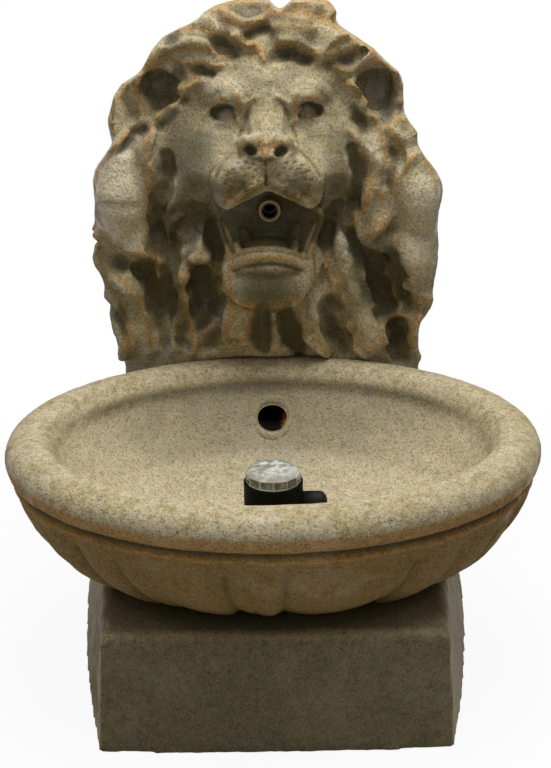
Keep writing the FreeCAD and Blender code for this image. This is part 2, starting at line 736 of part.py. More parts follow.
def basin_envelope():
    """Room that the basin takes in the lion's casting, with the adhesive line."""
    gap = size("bond_gap")
    lip, neck, bead = basin_outside(gap)
    loose = size("lobe_bulge") + 3 * gap
    belly = Part.makeLoft([ring_wire(out + loose, drop) for out, drop in belly_rings()], True, True)
    return lip.fuse([neck, bead, belly])


def make_lion():
    blank = solid("lion_blank", lion_relief().cut(basin_envelope()))
    mouth = ball("mouth_space", "mouth_half", "mouth_back - mouth_front", "mouth_half_high",
                 "0", "mouth_front", "spout_height - mouth_drop")
    bore = rod("spout_bore", "Y", "spout_radius + fit_gap", "60", "0", "mouth_back - 20", "spout_height")
    round_head = ball("head_round", "hollow_half", "hollow_depth", "hollow_half_high",
                      "0", "wall_plane", "spout_height")
    ceiling = block("head_ceiling", ("-hollow_half - 1", "hollow_half + 1"),
                    ("wall_plane - hollow_depth - 1", "wall_plane + hollow_depth + 1"),
                    ("cover_top - head_margin", "mane_top + hollow_half_high"))
    head = cut("head_hollow", round_head, [ceiling])
    low = solid("column_hollow", column_hollow())
    sleeve = rod("sleeve_hole", "Y", "return_bore + return_wall", "wall_plane - return_front - 8",
                 "0", "return_front", "%s - return_drop" % CREST)
    rebate = cover_rebate("lion_rebate")
    holes = insert_holes("lion_insert_hole", SCREW_PLACES[2:])
    plate = block("hanger_recess", ("-hanger_half - cover_gap", "hanger_half + cover_gap"),
                  ("wall_plane - hanger_sunk - hanger_thick", "wall_plane + 1"),
                  (HANGER_LOW + " - cover_gap", HANGER_TOP + " + cover_gap"))
    room = block("keyhole_room", ("-keyhole_radius - 1", "keyhole_radius + 1"),
                 ("wall_plane - hanger_sunk - hanger_thick - keyhole_depth", "wall_plane"),
                 (HANGER_LOW + " + keyhole_margin", HANGER_TOP + " - keyhole_margin"))
    studs = [rod("hanger_hole_%d" % i, "Y", "screw_radius + fit_gap", "screw_length + 2",
                 x, "wall_plane - hanger_sunk - screw_length", "hanger_height")
             for i, x in enumerate(HANGER_SCREWS)]
    hollows = [mouth, bore, head, low, sleeve, rebate, plate, room]
    node("lion_back", cut("lion_back", blank, hollows + holes + studs))


def column_hollow():
    """Sloping hollow behind the basin, from the deck up into the head."""
    half = size("service_half")
    wall = size("wall_plane") + 1
    levels = [(size("pedestal_height") - 1, size("cavity_low_front")),
              (basin_crest() - size("lip_drop"), size("cavity_front")),
              (size("cover_top") - size("hollow_below"), size("cavity_front"))]
    side = [Vector(-half, front, z) for z, front in levels]
    profile = side + [Vector(-half, wall, levels[-1][0]), Vector(-half, wall, levels[0][0])]
    return Part.Face(Part.makePolygon(profile + profile[:1])).extrude(Vector(2 * half, 0, 0))


def make_cover():
    body = new_body("CoverPlate")
    sketch = sketch_on(body, "CoverOutline", "XZ_Plane")
    outline(sketch, [("-cover_half", "cover_bottom"), ("cover_half", "cover_bottom"),
                     ("cover_half", "cover_top"), ("-cover_half", "cover_top")])
    pad = body.newObject("PartDesign::Pad", "CoverPad")
    pad.Profile = sketch
    bind(pad, Length="cover_thick")
    pad.Reversed = True
    doc.recompute()
    corners = ["Edge%d" % (i + 1) for i, edge in enumerate(pad.Shape.Edges)
               if abs(edge.BoundBox.YLength - size("cover_thick")) < 1e-6 and edge.BoundBox.ZLength < 1e-6]
    round_off = body.newObject("PartDesign::Fillet", "CoverRound")
    round_off.Base = (pad, corners)
    bind(round_off, Radius="cover_round")
    holes = sketch_on(body, "CoverHoles", "XZ_Plane")
    for x, z in SCREW_PLACES:
        circle(holes, x, z, "screw_radius + fit_gap")
    circle(holes, "-cord_offset", "cord_height", "grommet_radius")
    pocket = body.newObject("PartDesign::Pocket", "CoverPocket")
    pocket.Profile = holes
    pocket.Type = 1
    pocket.Midplane = True
    body.Tip = pocket
    place(body, y="wall_plane - cover_sunk - cover_thick")
    node("rear_cover", body)


def make_gasket():
    body = new_body("GasketFrame")
    sketch = sketch_on(body, "GasketOutline", "XZ_Plane")
    for half, low, high in (("(cover_half - gasket_in)", "cover_bottom + gasket_in", "cover_top - gasket_in"),
                            ("(service_half + gasket_in)", "service_sill - gasket_in",
                             "cover_top - hollow_below + gasket_in")):
        outline(sketch, [("-" + half, low), (half, low), (half, high), ("-" + half, high)])
    for x, z in SCREW_PLACES:
        circle(sketch, x, z, "screw_radius + fit_gap")
    pad = body.newObject("PartDesign::Pad", "GasketPad")
    pad.Profile = sketch
    bind(pad, Length="gasket_thick")
    pad.Reversed = True
    body.Tip = pad
    place(body, y=REBATE_FRONT)
    node("cover_gasket", body)


def screw(name, x, y, z):
    """Pan-head screw whose head bears at y and whose shank points forward."""
    shank = rod(name + "_shank", "-Y", "screw_radius", "screw_length", x, y, z)
    head = rod(name + "_head", "Y", "head_radius", "head_thick", x, y, z)
    return fuse(name, [shank, head])


def make_fasteners():
    seat = "wall_plane - cover_sunk"
    node("cover_screws", group("cover_screws", [screw("cover_screw_%d" % i, x, seat, z)
                                                 for i, (x, z) in enumerate(SCREW_PLACES)]))
    sleeves = []
    for i, (x, z) in enumerate(SCREW_PLACES):
        outside = rod("insert_%d" % i, "-Y", "insert_radius", "insert_length", x, REBATE_FRONT, z)
        inside = rod("insert_bore_%d" % i, "-Y", "screw_radius + fit_gap", "insert_length + 2",
                     x, REBATE_FRONT + " + 1", z)
        sleeves.append(cut("insert_sleeve_%d" % i, outside, [inside]))
    node("cover_inserts", group("cover_inserts", sleeves))


def make_grommet():
    back = "wall_plane - cover_sunk"
    front = "wall_plane - cover_sunk - cover_thick"
    x = "-cord_offset"
    z = "cord_height"
    flange = "grommet_radius + grommet_lip"
    web = rod("grommet_web", "Y", "grommet_radius - fit_gap", "cover_thick", x, front, z)
    outer = rod("grommet_outer", "Y", flange, "grommet_flange", x, back, z)
    inner = rod("grommet_inner", "-Y", flange, "grommet_flange", x, front, z)
    bore = rod("grommet_bore", "Y", "cord_bore", "cover_thick + 4 * grommet_flange",
               x, front + " - 2 * grommet_flange", z)
    node("cord_grommet", cut("cord_grommet", fuse("grommet_blank", [web, outer, inner]), [bore]))


def make_hanger():
    back = "wall_plane - hanger_sunk"
    plate = block("hanger_blank", ("-hanger_half", "hanger_half"), (back + " - hanger_thick", back),
                  (HANGER_LOW, HANGER_TOP))
    eye = rod("keyhole_eye", "Y", "keyhole_radius", "hanger_thick + 2", "0", back + " - hanger_thick - 1",
              "hanger_height - keyhole_drop")
    slot = block("keyhole_slot_cut", ("-keyhole_slot", "keyhole_slot"),
                 (back + " - hanger_thick - 1", back + " + 1"),
                 ("hanger_height - keyhole_drop", HANGER_TOP + " - slot_margin"))
    holes = [rod("hanger_plate_hole_%d" % i, "Y", "screw_radius + fit_gap", "hanger_thick + 2",
                 x, back + " - hanger_thick - 1", "hanger_height")
             for i, x in enumerate(HANGER_SCREWS)]
    node("hanger_plate", cut("hanger_plate", plate, [eye, slot] + holes))
    node("hanger_screws", group("hanger_screws", [screw("hanger_screw_%d" % i, x, back, "hanger_height")
                                                  for i, x in enumerate(HANGER_SCREWS)]))


def make_spout():
    shoulder = "mouth_back + spout_lodge"
    nose = rod("spout_nose", "Y", "spout_radius", shoulder + " - spout_front",
               "0", "spout_front", "spout_height")
    barb = rod("spout_barb", "Y", "hose_bore - hose_fit", "barb_length", "0", shoulder, "spout_height")
    wide = rod("spout_wide_bore", "Y", "spout_bore", shoulder + " - spout_step - spout_front + 1",
               "0", "spout_front - 1", "spout_height")
    narrow = rod("spout_narrow_bore", "Y", "barb_bore", shoulder + " + barb_length - spout_front + 1",
                 "0", "spout_front", "spout_height")
    node("spout_tube", cut("spout_tube", fuse("spout_blank", [nose, barb]), [wide, narrow]))


def arc_through(start, corner, end, radius):
    """Tangent points and middle of the arc that rounds a corner."""
    into = (start - corner).normalize()
    away = (end - corner).normalize()
    half = into.getAngle(away) / 2
    reach = radius / math.tan(half)
    middle = (into + away).normalize()
    centre = corner + middle * (radius / math.sin(half))
    return corner + into * reach, centre - middle * radius, corner + away * reach


def hose_path():
    """Rising hose: a sway out of the pump, a straight rise and the bend into the spout."""
    line = size("hose_line")
    shoulder = size("mouth_back") + size("spout_lodge")
    points = [Vector(size("pump_side"), size("pump_line"), nipple_seat()),
              Vector(size("pump_side"), size("pump_line"), nipple_seat() + size("hose_first_rise")),
              Vector(size("pump_side") / 2, line, basin_crest() - size("sway_low")),
              Vector(0, line, basin_crest() + size("sway_high")),
              Vector(0, line, size("spout_height")),
              Vector(0, shoulder + size("hose_end_gap"), size("spout_height"))]
    radii = [size("sway_bend"), size("sway_bend"), size("wide_bend"), size("hose_bend")]
    edges = []
    last = points[0]
    for index, radius in enumerate(radii):
        start, middle, end = arc_through(points[index], points[index + 1], points[index + 2], radius)
        edges.append(Part.LineSegment(last, start).toShape())
        edges.append(side_arc(start, middle, end))
        last = end
    if (last - points[-1]).Length > 0.01:
        edges.append(Part.LineSegment(last, points[-1]).toShape())
    return Part.Wire(edges)


def make_hose():
    path = hose_path()
    base = path.Vertexes[0].Point
    bore = size("hose_bore")
    outside = bore + size("hose_wall")
    rings = [Part.Wire([Part.Circle(base, Vector(0, 0, 1), radius).toShape()]) for radius in (outside, bore)]
    outer, inner = [path.makePipeShell([ring_edge], True, False) for ring_edge in rings]
    tube = outer.cut(inner)
    section = math.pi * (outside ** 2 - bore ** 2)
    print("hose length %.1f, volume %.0f, section times length %.0f"
          % (path.Length, tube.Volume, section * path.Length))
    node("riser_hose", solid("riser_hose", tube))


def pump_axis_height():
    return size("tank_floor") + size("pump_foot") + size("pump_body_side") / 2


def nipple_seat():
    return pump_axis_height() + size("chamber_radius") + size("nipple_collar") + size("hose_end_gap")


AXIS_HIGH = "(tank_floor + pump_foot + pump_body_side / 2)"
CHAMBER_LEFT = "(pump_side - chamber_length / 2)"
CHAMBER_RIGHT = "(pump_side + chamber_length / 2)"
BODY_LEFT = "(pump_side - chamber_length / 2 - pump_body_length)"
BUSH_LEFT = "(pump_side - chamber_length / 2 - rotor_length - rotor_end_gap - bush_length)"
INTAKE_LEFT = "(pump_side + chamber_length / 2 + chamber_lid)"


def along_pump(name, radius, start, length):
    """A cylinder on the pump's axis."""
    return rod(name, "X", radius, length, start, "pump_line", AXIS_HIGH)


def make_pump_housing():
    half = "pump_body_side / 2"
    motor = block("motor_block", (BODY_LEFT, CHAMBER_LEFT), ("pump_line - " + half, "pump_line + " + half),
                  ("tank_floor + pump_foot", "tank_floor + pump_foot + pump_body_side"))
    rounded = doc.addObject("Part::Fillet", "motor_rounded")
    rounded.Base = motor
    doc.recompute()
    long_edges = [i + 1 for i, edge in enumerate(motor.Shape.Edges)
                  if edge.BoundBox.XLength > size("pump_body_length") - 0.1]
    rounding = size("pump_body_round")
    rounded.Edges = [(i, rounding, rounding) for i in long_edges]
    chamber = along_pump("chamber", "chamber_radius", CHAMBER_LEFT + " - 2", "chamber_length + 2")
    nipple = rod("nipple", "Z", "hose_bore - hose_fit", "chamber_radius + nipple_length",
                 "pump_side", "pump_line", AXIS_HIGH)
    collar = rod("collar", "Z", "hose_bore + hose_wall", "chamber_radius + nipple_collar",
                 "pump_side", "pump_line", AXIS_HIGH)
    blank = fuse("pump_blank", [rounded, chamber, collar, nipple])
    room = along_pump("chamber_room", "chamber_bore", CHAMBER_LEFT, "chamber_length + 1")
    well = along_pump("rotor_well", "rotor_radius + well_gap",
                      CHAMBER_LEFT + " - rotor_length - rotor_end_gap", "rotor_length + rotor_end_gap + 1")
    seat = along_pump("rear_bush_seat", "bush_radius", BUSH_LEFT, "bush_length + 1")
    bore = rod("nipple_bore_cut", "Z", "nipple_bore", "chamber_radius + nipple_length + 2", "pump_side",
               "pump_line", AXIS_HIGH)
    groove = cut("seal_groove", along_pump("seal_groove_out", "chamber_bore + seal_in + seal_thick",
                                           CHAMBER_RIGHT + " - 2 * seal_thick", "2 * seal_thick + 1"),
                 [along_pump("seal_groove_in", "chamber_bore + seal_in - seal_thick",
                             CHAMBER_RIGHT + " - 2 * seal_thick - 1", "2 * seal_thick + 3")])
    node("pump_housing", cut("pump_housing", blank, [room, well, seat, bore, groove]))


def make_pump_inside():
    node("rear_bush", cut("rear_bush",
                          along_pump("rear_bush_blank", "bush_radius",
                                     BUSH_LEFT, "bush_length"),
                          [along_pump("rear_bush_bore", "shaft_radius",
                                      BUSH_LEFT + " + rotor_end_gap", "bush_length")]))
    node("impeller_shaft", along_pump("impeller_shaft", "shaft_radius",
                                      BUSH_LEFT + " + rotor_end_gap",
                                      "rotor_length + bush_length + chamber_length + shaft_in"))
    rotor = along_pump("rotor", "rotor_radius", CHAMBER_LEFT + " - rotor_length + rotor_lead",
                      "rotor_length")
    hub = along_pump("hub", "shaft_radius + hub_wall", CHAMBER_LEFT + " - 1", "vane_length + hub_past + 1")
    vanes = []
    for i in range(int(size("vane_count"))):
        vane = block("vane_%d" % i, ("0", "vane_length"), ("0", "vane_radius"),
                     ("-vane_thick / 2", "vane_thick / 2"))
        vane.Placement = Placement(Vector(0, 0, -size("vane_thick") / 2), Rotation())
        vanes.append(vane)
    doc.recompute()
    spread = []
    for i, vane in enumerate(vanes):
        turned = doc.addObject("Part::Compound", "vane_turned_%d" % i)
        turned.Links = [vane]
        turned.Placement = Placement(Vector(), Rotation(Vector(1, 0, 0), 360 * i / size("vane_count")))
        place(turned, CHAMBER_LEFT + " + vane_gap", "pump_line", AXIS_HIGH)
        spread.append(turned)
    bore = along_pump("impeller_bore", "shaft_radius + shaft_play", CHAMBER_LEFT + " - rotor_length - 2",
                      "rotor_length + chamber_length + 4")
    node("impeller", cut("impeller", fuse("impeller_blank", [rotor, hub] + spread), [bore]))
    lid = along_pump("lid_plate", "chamber_radius", CHAMBER_RIGHT, "chamber_lid")
    boss = along_pump("lid_boss", "bush_radius + bush_wall", CHAMBER_RIGHT, "chamber_lid + bush_length")
    eyes = []
    ring_radius = "(bush_radius + bush_wall + eye_web + lid_eye)"
    for i in range(int(size("lid_eyes"))):
        angle = math.pi / 2 + 2 * math.pi * i / size("lid_eyes")
        eyes.append(rod("lid_eye_%d" % i, "X", "lid_eye", "chamber_lid + 2", CHAMBER_RIGHT + " - 1",
                        "pump_line + %.5f * %s" % (math.cos(angle), ring_radius),
                        AXIS_HIGH + " + %.5f * %s" % (math.sin(angle), ring_radius)))
    socket = along_pump("front_bush_seat", "bush_radius", CHAMBER_RIGHT + " - 1", "bush_length + 1")
    node("chamber_cover", cut("chamber_cover", fuse("lid_blank", [lid, boss]), eyes + [socket]))
    node("front_bush", cut("front_bush",
                           along_pump("front_bush_blank", "bush_radius", CHAMBER_RIGHT, "bush_length"),
                           [along_pump("front_bush_bore", "shaft_radius", CHAMBER_RIGHT + " - 1",
                                       "bush_length")]))
    node("chamber_seal", ring("chamber_seal", "X", "chamber_bore + seal_in", "seal_thick",
                              CHAMBER_RIGHT + " - seal_thick", "pump_line", AXIS_HIGH))


def make_intake():
    shell = along_pump("intake_outside", "chamber_radius", INTAKE_LEFT, "intake_length")
    room = along_pump("intake_room", "chamber_radius - intake_wall", INTAKE_LEFT + " - 1",
                      "intake_length - intake_wall + 1")
    hole = along_pump("dial_hole", "dial_stem + run_gap", INTAKE_LEFT, "intake_length + 2")
    slots = []
    count = int(size("intake_slots"))
    for i in range(count):
        offset = "(%d) * 2 * intake_slot" % (2 * i - count + 1)
        slots.append(block("intake_slot_%d" % i,
                           (INTAKE_LEFT + " + slot_start", INTAKE_LEFT + " + intake_length - slot_end"),
                           ("pump_line + %s / 2 - intake_slot / 2" % offset,
                            "pump_line + %s / 2 + intake_slot / 2" % offset),
                           (AXIS_HIGH, AXIS_HIGH + " + chamber_radius + 1")))
    node("intake_cover", cut("intake_cover", shell, [room, hole] + slots))
    knob_left = INTAKE_LEFT + " + intake_length + run_gap"
    knob = along_pump("dial_knob", "dial_radius", knob_left, "dial_thick")
    keeper_left = INTAKE_LEFT + " + intake_length - intake_wall - run_gap - keeper_thick"
    keeper = along_pump("dial_keeper", "dial_stem + keeper_rim", keeper_left, "keeper_thick")
    stem = along_pump("dial_stem_rod", "dial_stem", keeper_left,
                      "keeper_thick + intake_wall + 2 * run_gap + 1")
    grip = block("dial_grip", (knob_left, knob_left + " + dial_thick + grip_rise"),
                 ("pump_line - grip_half", "pump_line + grip_half"),
                 (AXIS_HIGH + " - dial_radius + grip_in", AXIS_HIGH + " + dial_radius - grip_in"))
    node("flow_dial", fuse("flow_dial", [knob, stem, keeper, grip]))
    cups = []
    for i, x in enumerate((BODY_LEFT + " + cup_end", CHAMBER_LEFT + " - cup_end")):
        for j, side in enumerate(("-", "+")):
            y = "pump_line %s (pump_body_side / 2 - cup_radius - cup_side)" % side
            cup = doc.addObject("Part::Cone", "suction_cup_%d%d" % (i, j))
            bind(cup, Radius1="cup_radius", Radius2="cup_radius / 2", Height="pump_foot")
            place(cup, x, y, "tank_floor")
            cups.append(cup)
    node("pump_suction_cups", group("pump_suction_cups", cups))


BASIN_FLOOR = "(pedestal_height + bond_thick + basin_height - basin_depth)"
LIGHT_BASE = "(pedestal_height + bond_thick + basin_height - basin_depth + light_foot_height)"
LIGHT_RIM = "(pedestal_height + bond_thick + basin_height - basin_depth + light_foot_height + light_height)"
LIGHT_BORE = "light_radius - light_wall"


def make_light():
    foot = doc.addObject("Part::Cone", "light_foot")
    bind(foot, Radius1="light_foot_radius", Radius2="light_foot_radius - light_foot_taper")
    bind(foot, Height="light_foot_height")
    place(foot, z=BASIN_FLOOR)
    node("light_foot", foot)
    housing = rod("housing_blank", "Z", "light_radius", "light_height", z=LIGHT_BASE)
    gland_high = LIGHT_RIM + " - gland_drop"
    boss = rod("gland_boss_rod", "X", "gland_radius + gland_wall", "light_radius + gland_boss", z=gland_high)
    room = rod("housing_room", "Z", LIGHT_BORE, "board_below + 1", z=LIGHT_RIM + " - board_below")
    well = rod("housing_well", "Z", LIGHT_BORE + " - board_ledge", "light_height - 2 * light_wall",
               z=LIGHT_BASE + " + light_wall")
    gland_hole = rod("gland_hole", "X", "gland_radius", "light_radius", x=LIGHT_BORE + " - gland_seat",
                     z=gland_high)
    shell = fuse("housing_shell", [housing, boss])
    node("light_housing", cut("light_housing", shell, [room, well, gland_hole]))
    stem = rod("gland_stem", "X", "gland_radius - fit_gap", "gland_reach - gland_radius - (%s)" % LIGHT_BORE,
               x=LIGHT_BORE, z=gland_high)
    tip = doc.addObject("Part::Sphere", "gland_tip")
    bind(tip, Radius="gland_radius - fit_gap")
    place(tip, x="gland_reach - gland_radius", z=gland_high)
    node("light_gland", fuse("light_gland", [stem, tip]))
    board = rod("lamp_board", "Z", LIGHT_BORE + " - fit_gap", "board_thick",
                z=LIGHT_RIM + " - board_below")
    node("lamp_board", board)
    leds = []
    for i in range(int(size("led_count"))):
        angle = 2 * math.pi * i / size("led_count")
        base = LIGHT_RIM + " - board_below + board_thick"
        x = "led_ring * %.5f" % math.cos(angle)
        y = "led_ring * %.5f" % math.sin(angle)
        stand = rod("led_stand_%d" % i, "Z", "led_radius", "led_radius", x, y, base)
        dome = doc.addObject("Part::Sphere", "led_dome_%d" % i)
        bind(dome, Radius="led_radius")
        place(dome, x, y, base + " + led_radius")
        leds.append(fuse("led_%d" % i, [stand, dome]))
    node("lamp_leds", group("lamp_leds", leds))
    flats = doc.addObject("Part::Prism", "lens_flats")
    bind(flats, Polygon="lens_facets", Circumradius="lens_radius", Height="lens_height + lens_dome")
    place(flats, z=LIGHT_RIM + " + run_gap")
    crown_half = "lens_radius * lens_crown"
    crown = ball("lens_crown", crown_half, crown_half, "lens_height + lens_dome", z=LIGHT_RIM + " + run_gap")
    spigot = rod("lens_spigot_rod", "Z", LIGHT_BORE + " - run_gap", "lens_spigot + 1",
                 z=LIGHT_RIM + " + run_gap - lens_spigot")
    head = doc.addObject("Part::Common", "lens_head")
    head.Base = flats
    head.Tool = crown
    hollow = rod("lens_hollow", "Z", LIGHT_BORE + " - run_gap - lens_wall",
                 "lens_spigot + lens_height - lens_wall + 1", z=LIGHT_RIM + " + run_gap - lens_spigot - 1")
    seal_line = LIGHT_BORE + " - light_seal_thick"
    seal_high = LIGHT_RIM + " - lens_spigot / 2"
    groove = ring("lens_groove", "Z", seal_line, "light_seal_thick + run_gap", z=seal_high)
    node("light_lens", cut("light_lens", fuse("lens_blank", [head, spigot]), [hollow, groove]))
    node("lens_seal", ring("lens_seal", "Z", seal_line, "light_seal_thick", z=seal_high))


make_pedestal()
make_basin()
make_lion()
make_cover()
make_gasket()
make_fasteners()
make_grommet()
make_hanger()
make_spout()
make_hose()
make_pump_housing()
make_pump_inside()
make_intake()
make_light()

doc.recompute()
for thing in doc.Objects:
    if "Invalid" in thing.State or "Error" in thing.State:
        raise RuntimeError("%s did not recompute" % thing.Label)
for label, thing in NODES:
    if thing.Shape.isNull() or not thing.Shape.isValid():
        raise RuntimeError("%s has no valid shape" % label)
    print("%-20s solids %d faces %d volume %.0f" % (label, len(thing.Shape.Solids), len(thing.Shape.Faces),
                                                   thing.Shape.Volume))

os.makedirs("parts", exist_ok=True)
for label, thing in NODES:
    thing.Shape.exportStep("parts/%s.step" % label)
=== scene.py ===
import json
import math

import bmesh
import bpy
from bpy.props import FloatProperty, FloatVectorProperty, PointerProperty
from mathutils import Matrix, Vector, noise
from mathutils.bvhtree import BVHTree
from mathutils.kdtree import KDTree


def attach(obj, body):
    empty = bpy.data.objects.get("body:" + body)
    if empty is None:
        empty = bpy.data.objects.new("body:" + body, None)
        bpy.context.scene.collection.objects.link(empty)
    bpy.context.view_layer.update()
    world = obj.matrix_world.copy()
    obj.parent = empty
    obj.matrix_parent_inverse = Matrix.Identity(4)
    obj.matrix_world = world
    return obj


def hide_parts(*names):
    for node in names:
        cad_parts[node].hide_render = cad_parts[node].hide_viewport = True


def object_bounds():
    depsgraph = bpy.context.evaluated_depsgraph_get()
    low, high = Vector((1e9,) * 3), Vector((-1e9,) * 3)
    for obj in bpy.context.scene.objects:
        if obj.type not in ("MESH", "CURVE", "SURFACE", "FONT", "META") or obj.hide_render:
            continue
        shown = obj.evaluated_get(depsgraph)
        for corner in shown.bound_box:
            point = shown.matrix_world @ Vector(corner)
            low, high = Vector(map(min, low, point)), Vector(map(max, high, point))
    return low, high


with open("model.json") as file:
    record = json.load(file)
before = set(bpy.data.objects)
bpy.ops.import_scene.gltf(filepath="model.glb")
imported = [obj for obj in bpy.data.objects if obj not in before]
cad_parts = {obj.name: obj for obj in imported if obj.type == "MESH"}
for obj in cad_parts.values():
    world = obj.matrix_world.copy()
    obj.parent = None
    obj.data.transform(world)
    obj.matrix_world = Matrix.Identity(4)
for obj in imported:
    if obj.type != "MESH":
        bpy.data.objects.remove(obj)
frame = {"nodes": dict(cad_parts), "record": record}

bl_info = {
    "name": "Garden wall fountain",
    "version": (1, 0, 0),
    "blender": (4, 5, 0),
    "location": "View3D > Sidebar > Fountain",
    "description": "Dresses the packed model of a cast stone wall fountain with a lion's head",
    "category": "Object",
}

CAD_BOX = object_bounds()
MM = 0.001

# The camera, in whose picture the lion is traced: pixels, millimetres and radians
FOCAL = 1700.0
PICTURE_SIZE = (551.0, 768.0)
PICTURE_MIDDLE = (272.0, 384.0)
EYE_BACK = 1204.0
EYE_HIGH = 702.0
TILT = math.radians(21.0)
ROLL = math.radians(0.8)

# Depths of the planes through face, mouth and rear edge, and how far inside its outline the mane is cut
FRONT_PLANE = 130.0
MOUTH_PLANE = 105.0
REAR_PLANE = 185.0
OUTLINE_SPARE = 1.5

# How far back the lion is carved and softened, and the walls that are kept before its hollows
CARVED_BACK = 192.0
SOFT_BACK = 196.0
THIN_WALL = 1.5
WALL = 4.0
BROKEN_WALL = 20.0

# The hollows of the lion's casting: the shaft behind the basin and the egg in the head, middle and half sizes
COLUMN = {"half": 61.5, "low": 97.0, "mid": 179.0, "top": 423.5, "low_front": 148.0, "front": 174.0}
HEAD_HOLLOW = (0.0, 200.0, 344.0, 58.0, 63.0, 84.0)

# The egg in which the face is worked: its middle and half sizes
FACE_MIDDLE = (-10.0, 130.0, 366.0)
FACE_REACH = (90.0, 62.0, 105.0)

# The open mouth: front and back of the plug that cuts it, its middle's height and how much it narrows
PLUG_FRONT = 62.0
PLUG_BACK = 125.5
PLUG_HIGH = 342.0
PLUG_NARROWING = 0.94

# The egg in which the mouth is painted dark as shade: its middle and half sizes
MOUTH_SHADE_MIDDLE = (0.0, 119.0, 339.0)
MOUTH_SHADE_REACH = (50.0, 29.0, 38.0)

# Ranges over which the pedestal's marks fade in: the basin's painted shadow on its top, the paler front
# corners and the worn front edge
PLINTH_TOP = (94.0, 97.5)
PLINTH_CORNER_X = (120.0, 136.0)
PLINTH_CORNER_Y = (112.0, 128.0)
PLINTH_EDGE_Y = (119.0, 128.0)
PLINTH_EDGE_Z = (90.0, 95.0)

# The basin: half sizes of its lip, heights on its outside, and the angles of its grooves in degrees
LIP_HALF = (188.0, 152.0)
LIP_EDGE = 183.5
LIP_GROOVE = 176.4
BEAD = 170.6
GROOVE_ANGLES = (-163.0, -140.0, -117.0, -97.0, -78.0, -60.0, -49.0, -35.5, -10.5,
                 2.6, 31.5, 45.5, 57.0, 72.0, 90.0, 110.0, 133.0, 158.0)

# The return hole, half sizes and rear ends of its sleeve and collar, and the ring where the wall is felt
RETURN_HIGH = 165.0
RETURN_FRONT = 116.0
SLEEVE_BORE = (12.3, 9.3)
SLEEVE_RIM = (13.1, 10.0)
SLEEVE_BACK = 169.0
COLLAR_BORE = (13.0, 9.9)
COLLAR_RIM = (17.6, 17.6)
COLLAR_BACK = 128.0
COLLAR_SIDES = 48
RETURN_REACH = 17.5

# The light: the gland's axis, the lens's lower edge, and radius and drop from the crown of the lens's rings
GLAND_HIGH = 141.5
GLAND_GROWTH = (1.25, 1.30)
LENS_SIDES = 12
LENS_LOW = 159.8
LENS_OUTSIDE = ((21.4, 4.2), (18.4, 1.3), (12.2, 0.0))
LENS_INSIDE = ((11.0, 1.8), (17.0, 3.0), (19.4, 5.0))

# Heights of the spout's axis and of the middle that the hair's furrows run out from
SPOUT_HIGH = 344.0
HAIR_HIGH = 360.0

# Greys of the stage
WHITE = (1.0, 1.0, 1.0)
FLOOR_PALE = (0.90, 0.90, 0.90)
FLOOR_GREY = (0.32, 0.32, 0.32)
AMBIENT = (0.17, 0.17, 0.17)


# Sizes and colours that a user would change

def colour(name, text, value):
    """A colour property with a description."""
    return FloatVectorProperty(name=name, description=text, subtype="COLOR", size=3, min=0.0, max=1.0,
                               default=value)


def length(name, text, value):
    """A length property in metres."""
    return FloatProperty(name=name, description=text, default=value, min=0.0, unit="LENGTH", precision=5)


def angle(name, text, value):
    """An angle property in radians."""
    return FloatProperty(name=name, description=text, default=value, subtype="ANGLE", unit="ROTATION")


def power(name, text, value):
    """A property for a lamp's power in watts."""
    return FloatProperty(name=name, description=text, default=value, min=0.0, unit="POWER")


class StoneSettings(bpy.types.PropertyGroup):
    """The cast stone: how finely it is meshed and how it is coloured."""
    pedestal_cell: length("Pedestal cell", "Side of a mesh cell on the pedestal", 0.0028)
    basin_cell: length("Basin cell", "Side of a mesh cell on the basin", 0.00223)
    lion_cell: length("Lion cell", "Side of a mesh cell on the mane", 0.00204)
    face_cell: length("Face cell", "Side of a mesh cell on the face", 0.00123)
    unevenness: length("Unevenness", "How far the hand-cast faces wander from true", 0.0009)
    body: colour("Body", "The stone's main colour", (0.415, 0.345, 0.185))
    # pale also paints the highlights and glints on the lion, and the paler inside of the bowl
    pale: colour("Pale", "Where the stone is rubbed or chalky", (0.58, 0.51, 0.35))
    rust: colour("Rust", "Stain on ridges and edges", (0.44, 0.255, 0.085))
    # soot is also the painted shade in hollows, grooves, creases and the mouth, and the basin's painted
    # shadow on the pedestal's top
    soot: colour("Soot", "Stain in the hollows", (0.056, 0.049, 0.019))
    plinth: colour("Plinth", "The pedestal's darker stone", (0.168, 0.152, 0.090))
    worn: colour("Worn plinth", "Where the pedestal is rubbed", (0.300, 0.235, 0.130))


class FittingSettings(bpy.types.PropertyGroup):
    """The plastics and metals of the fittings."""
    spout: colour("Spout", "The tan resin of the spout", (0.37, 0.235, 0.095))
    housing: colour("Housing", "The black plastic of the light", (0.0024, 0.0030, 0.0016))
    pump: colour("Pump", "The pump's green-black plastic", (0.016, 0.022, 0.020))
    dial: colour("Dial", "The blue of the flow dial", (0.03, 0.11, 0.24))
    cover: colour("Cover", "The sand-coloured rear cover", (0.30, 0.26, 0.18))


class StageSettings(bpy.types.PropertyGroup):
    """The floor, the lamps and the camera."""
    distance: length("Camera distance", "From the camera to the fountain's middle", EYE_BACK * MM)
    height: length("Camera height", "From the floor to the camera", EYE_HIGH * MM)
    tilt: angle("Camera tilt", "How far the camera looks down from level", TILT)
    roll: angle("Camera roll", "How far the camera is turned about its own axis", ROLL)
    key: power("Key lamp", "Power of the large lamp overhead", 25.0)
    fill: power("Fill lamp", "Power of the lamp beside the camera", 1.5)


def settings(name):
    """The scene's settings of one group."""
    return getattr(bpy.context.scene, "fountain_" + name)


# Shader writing

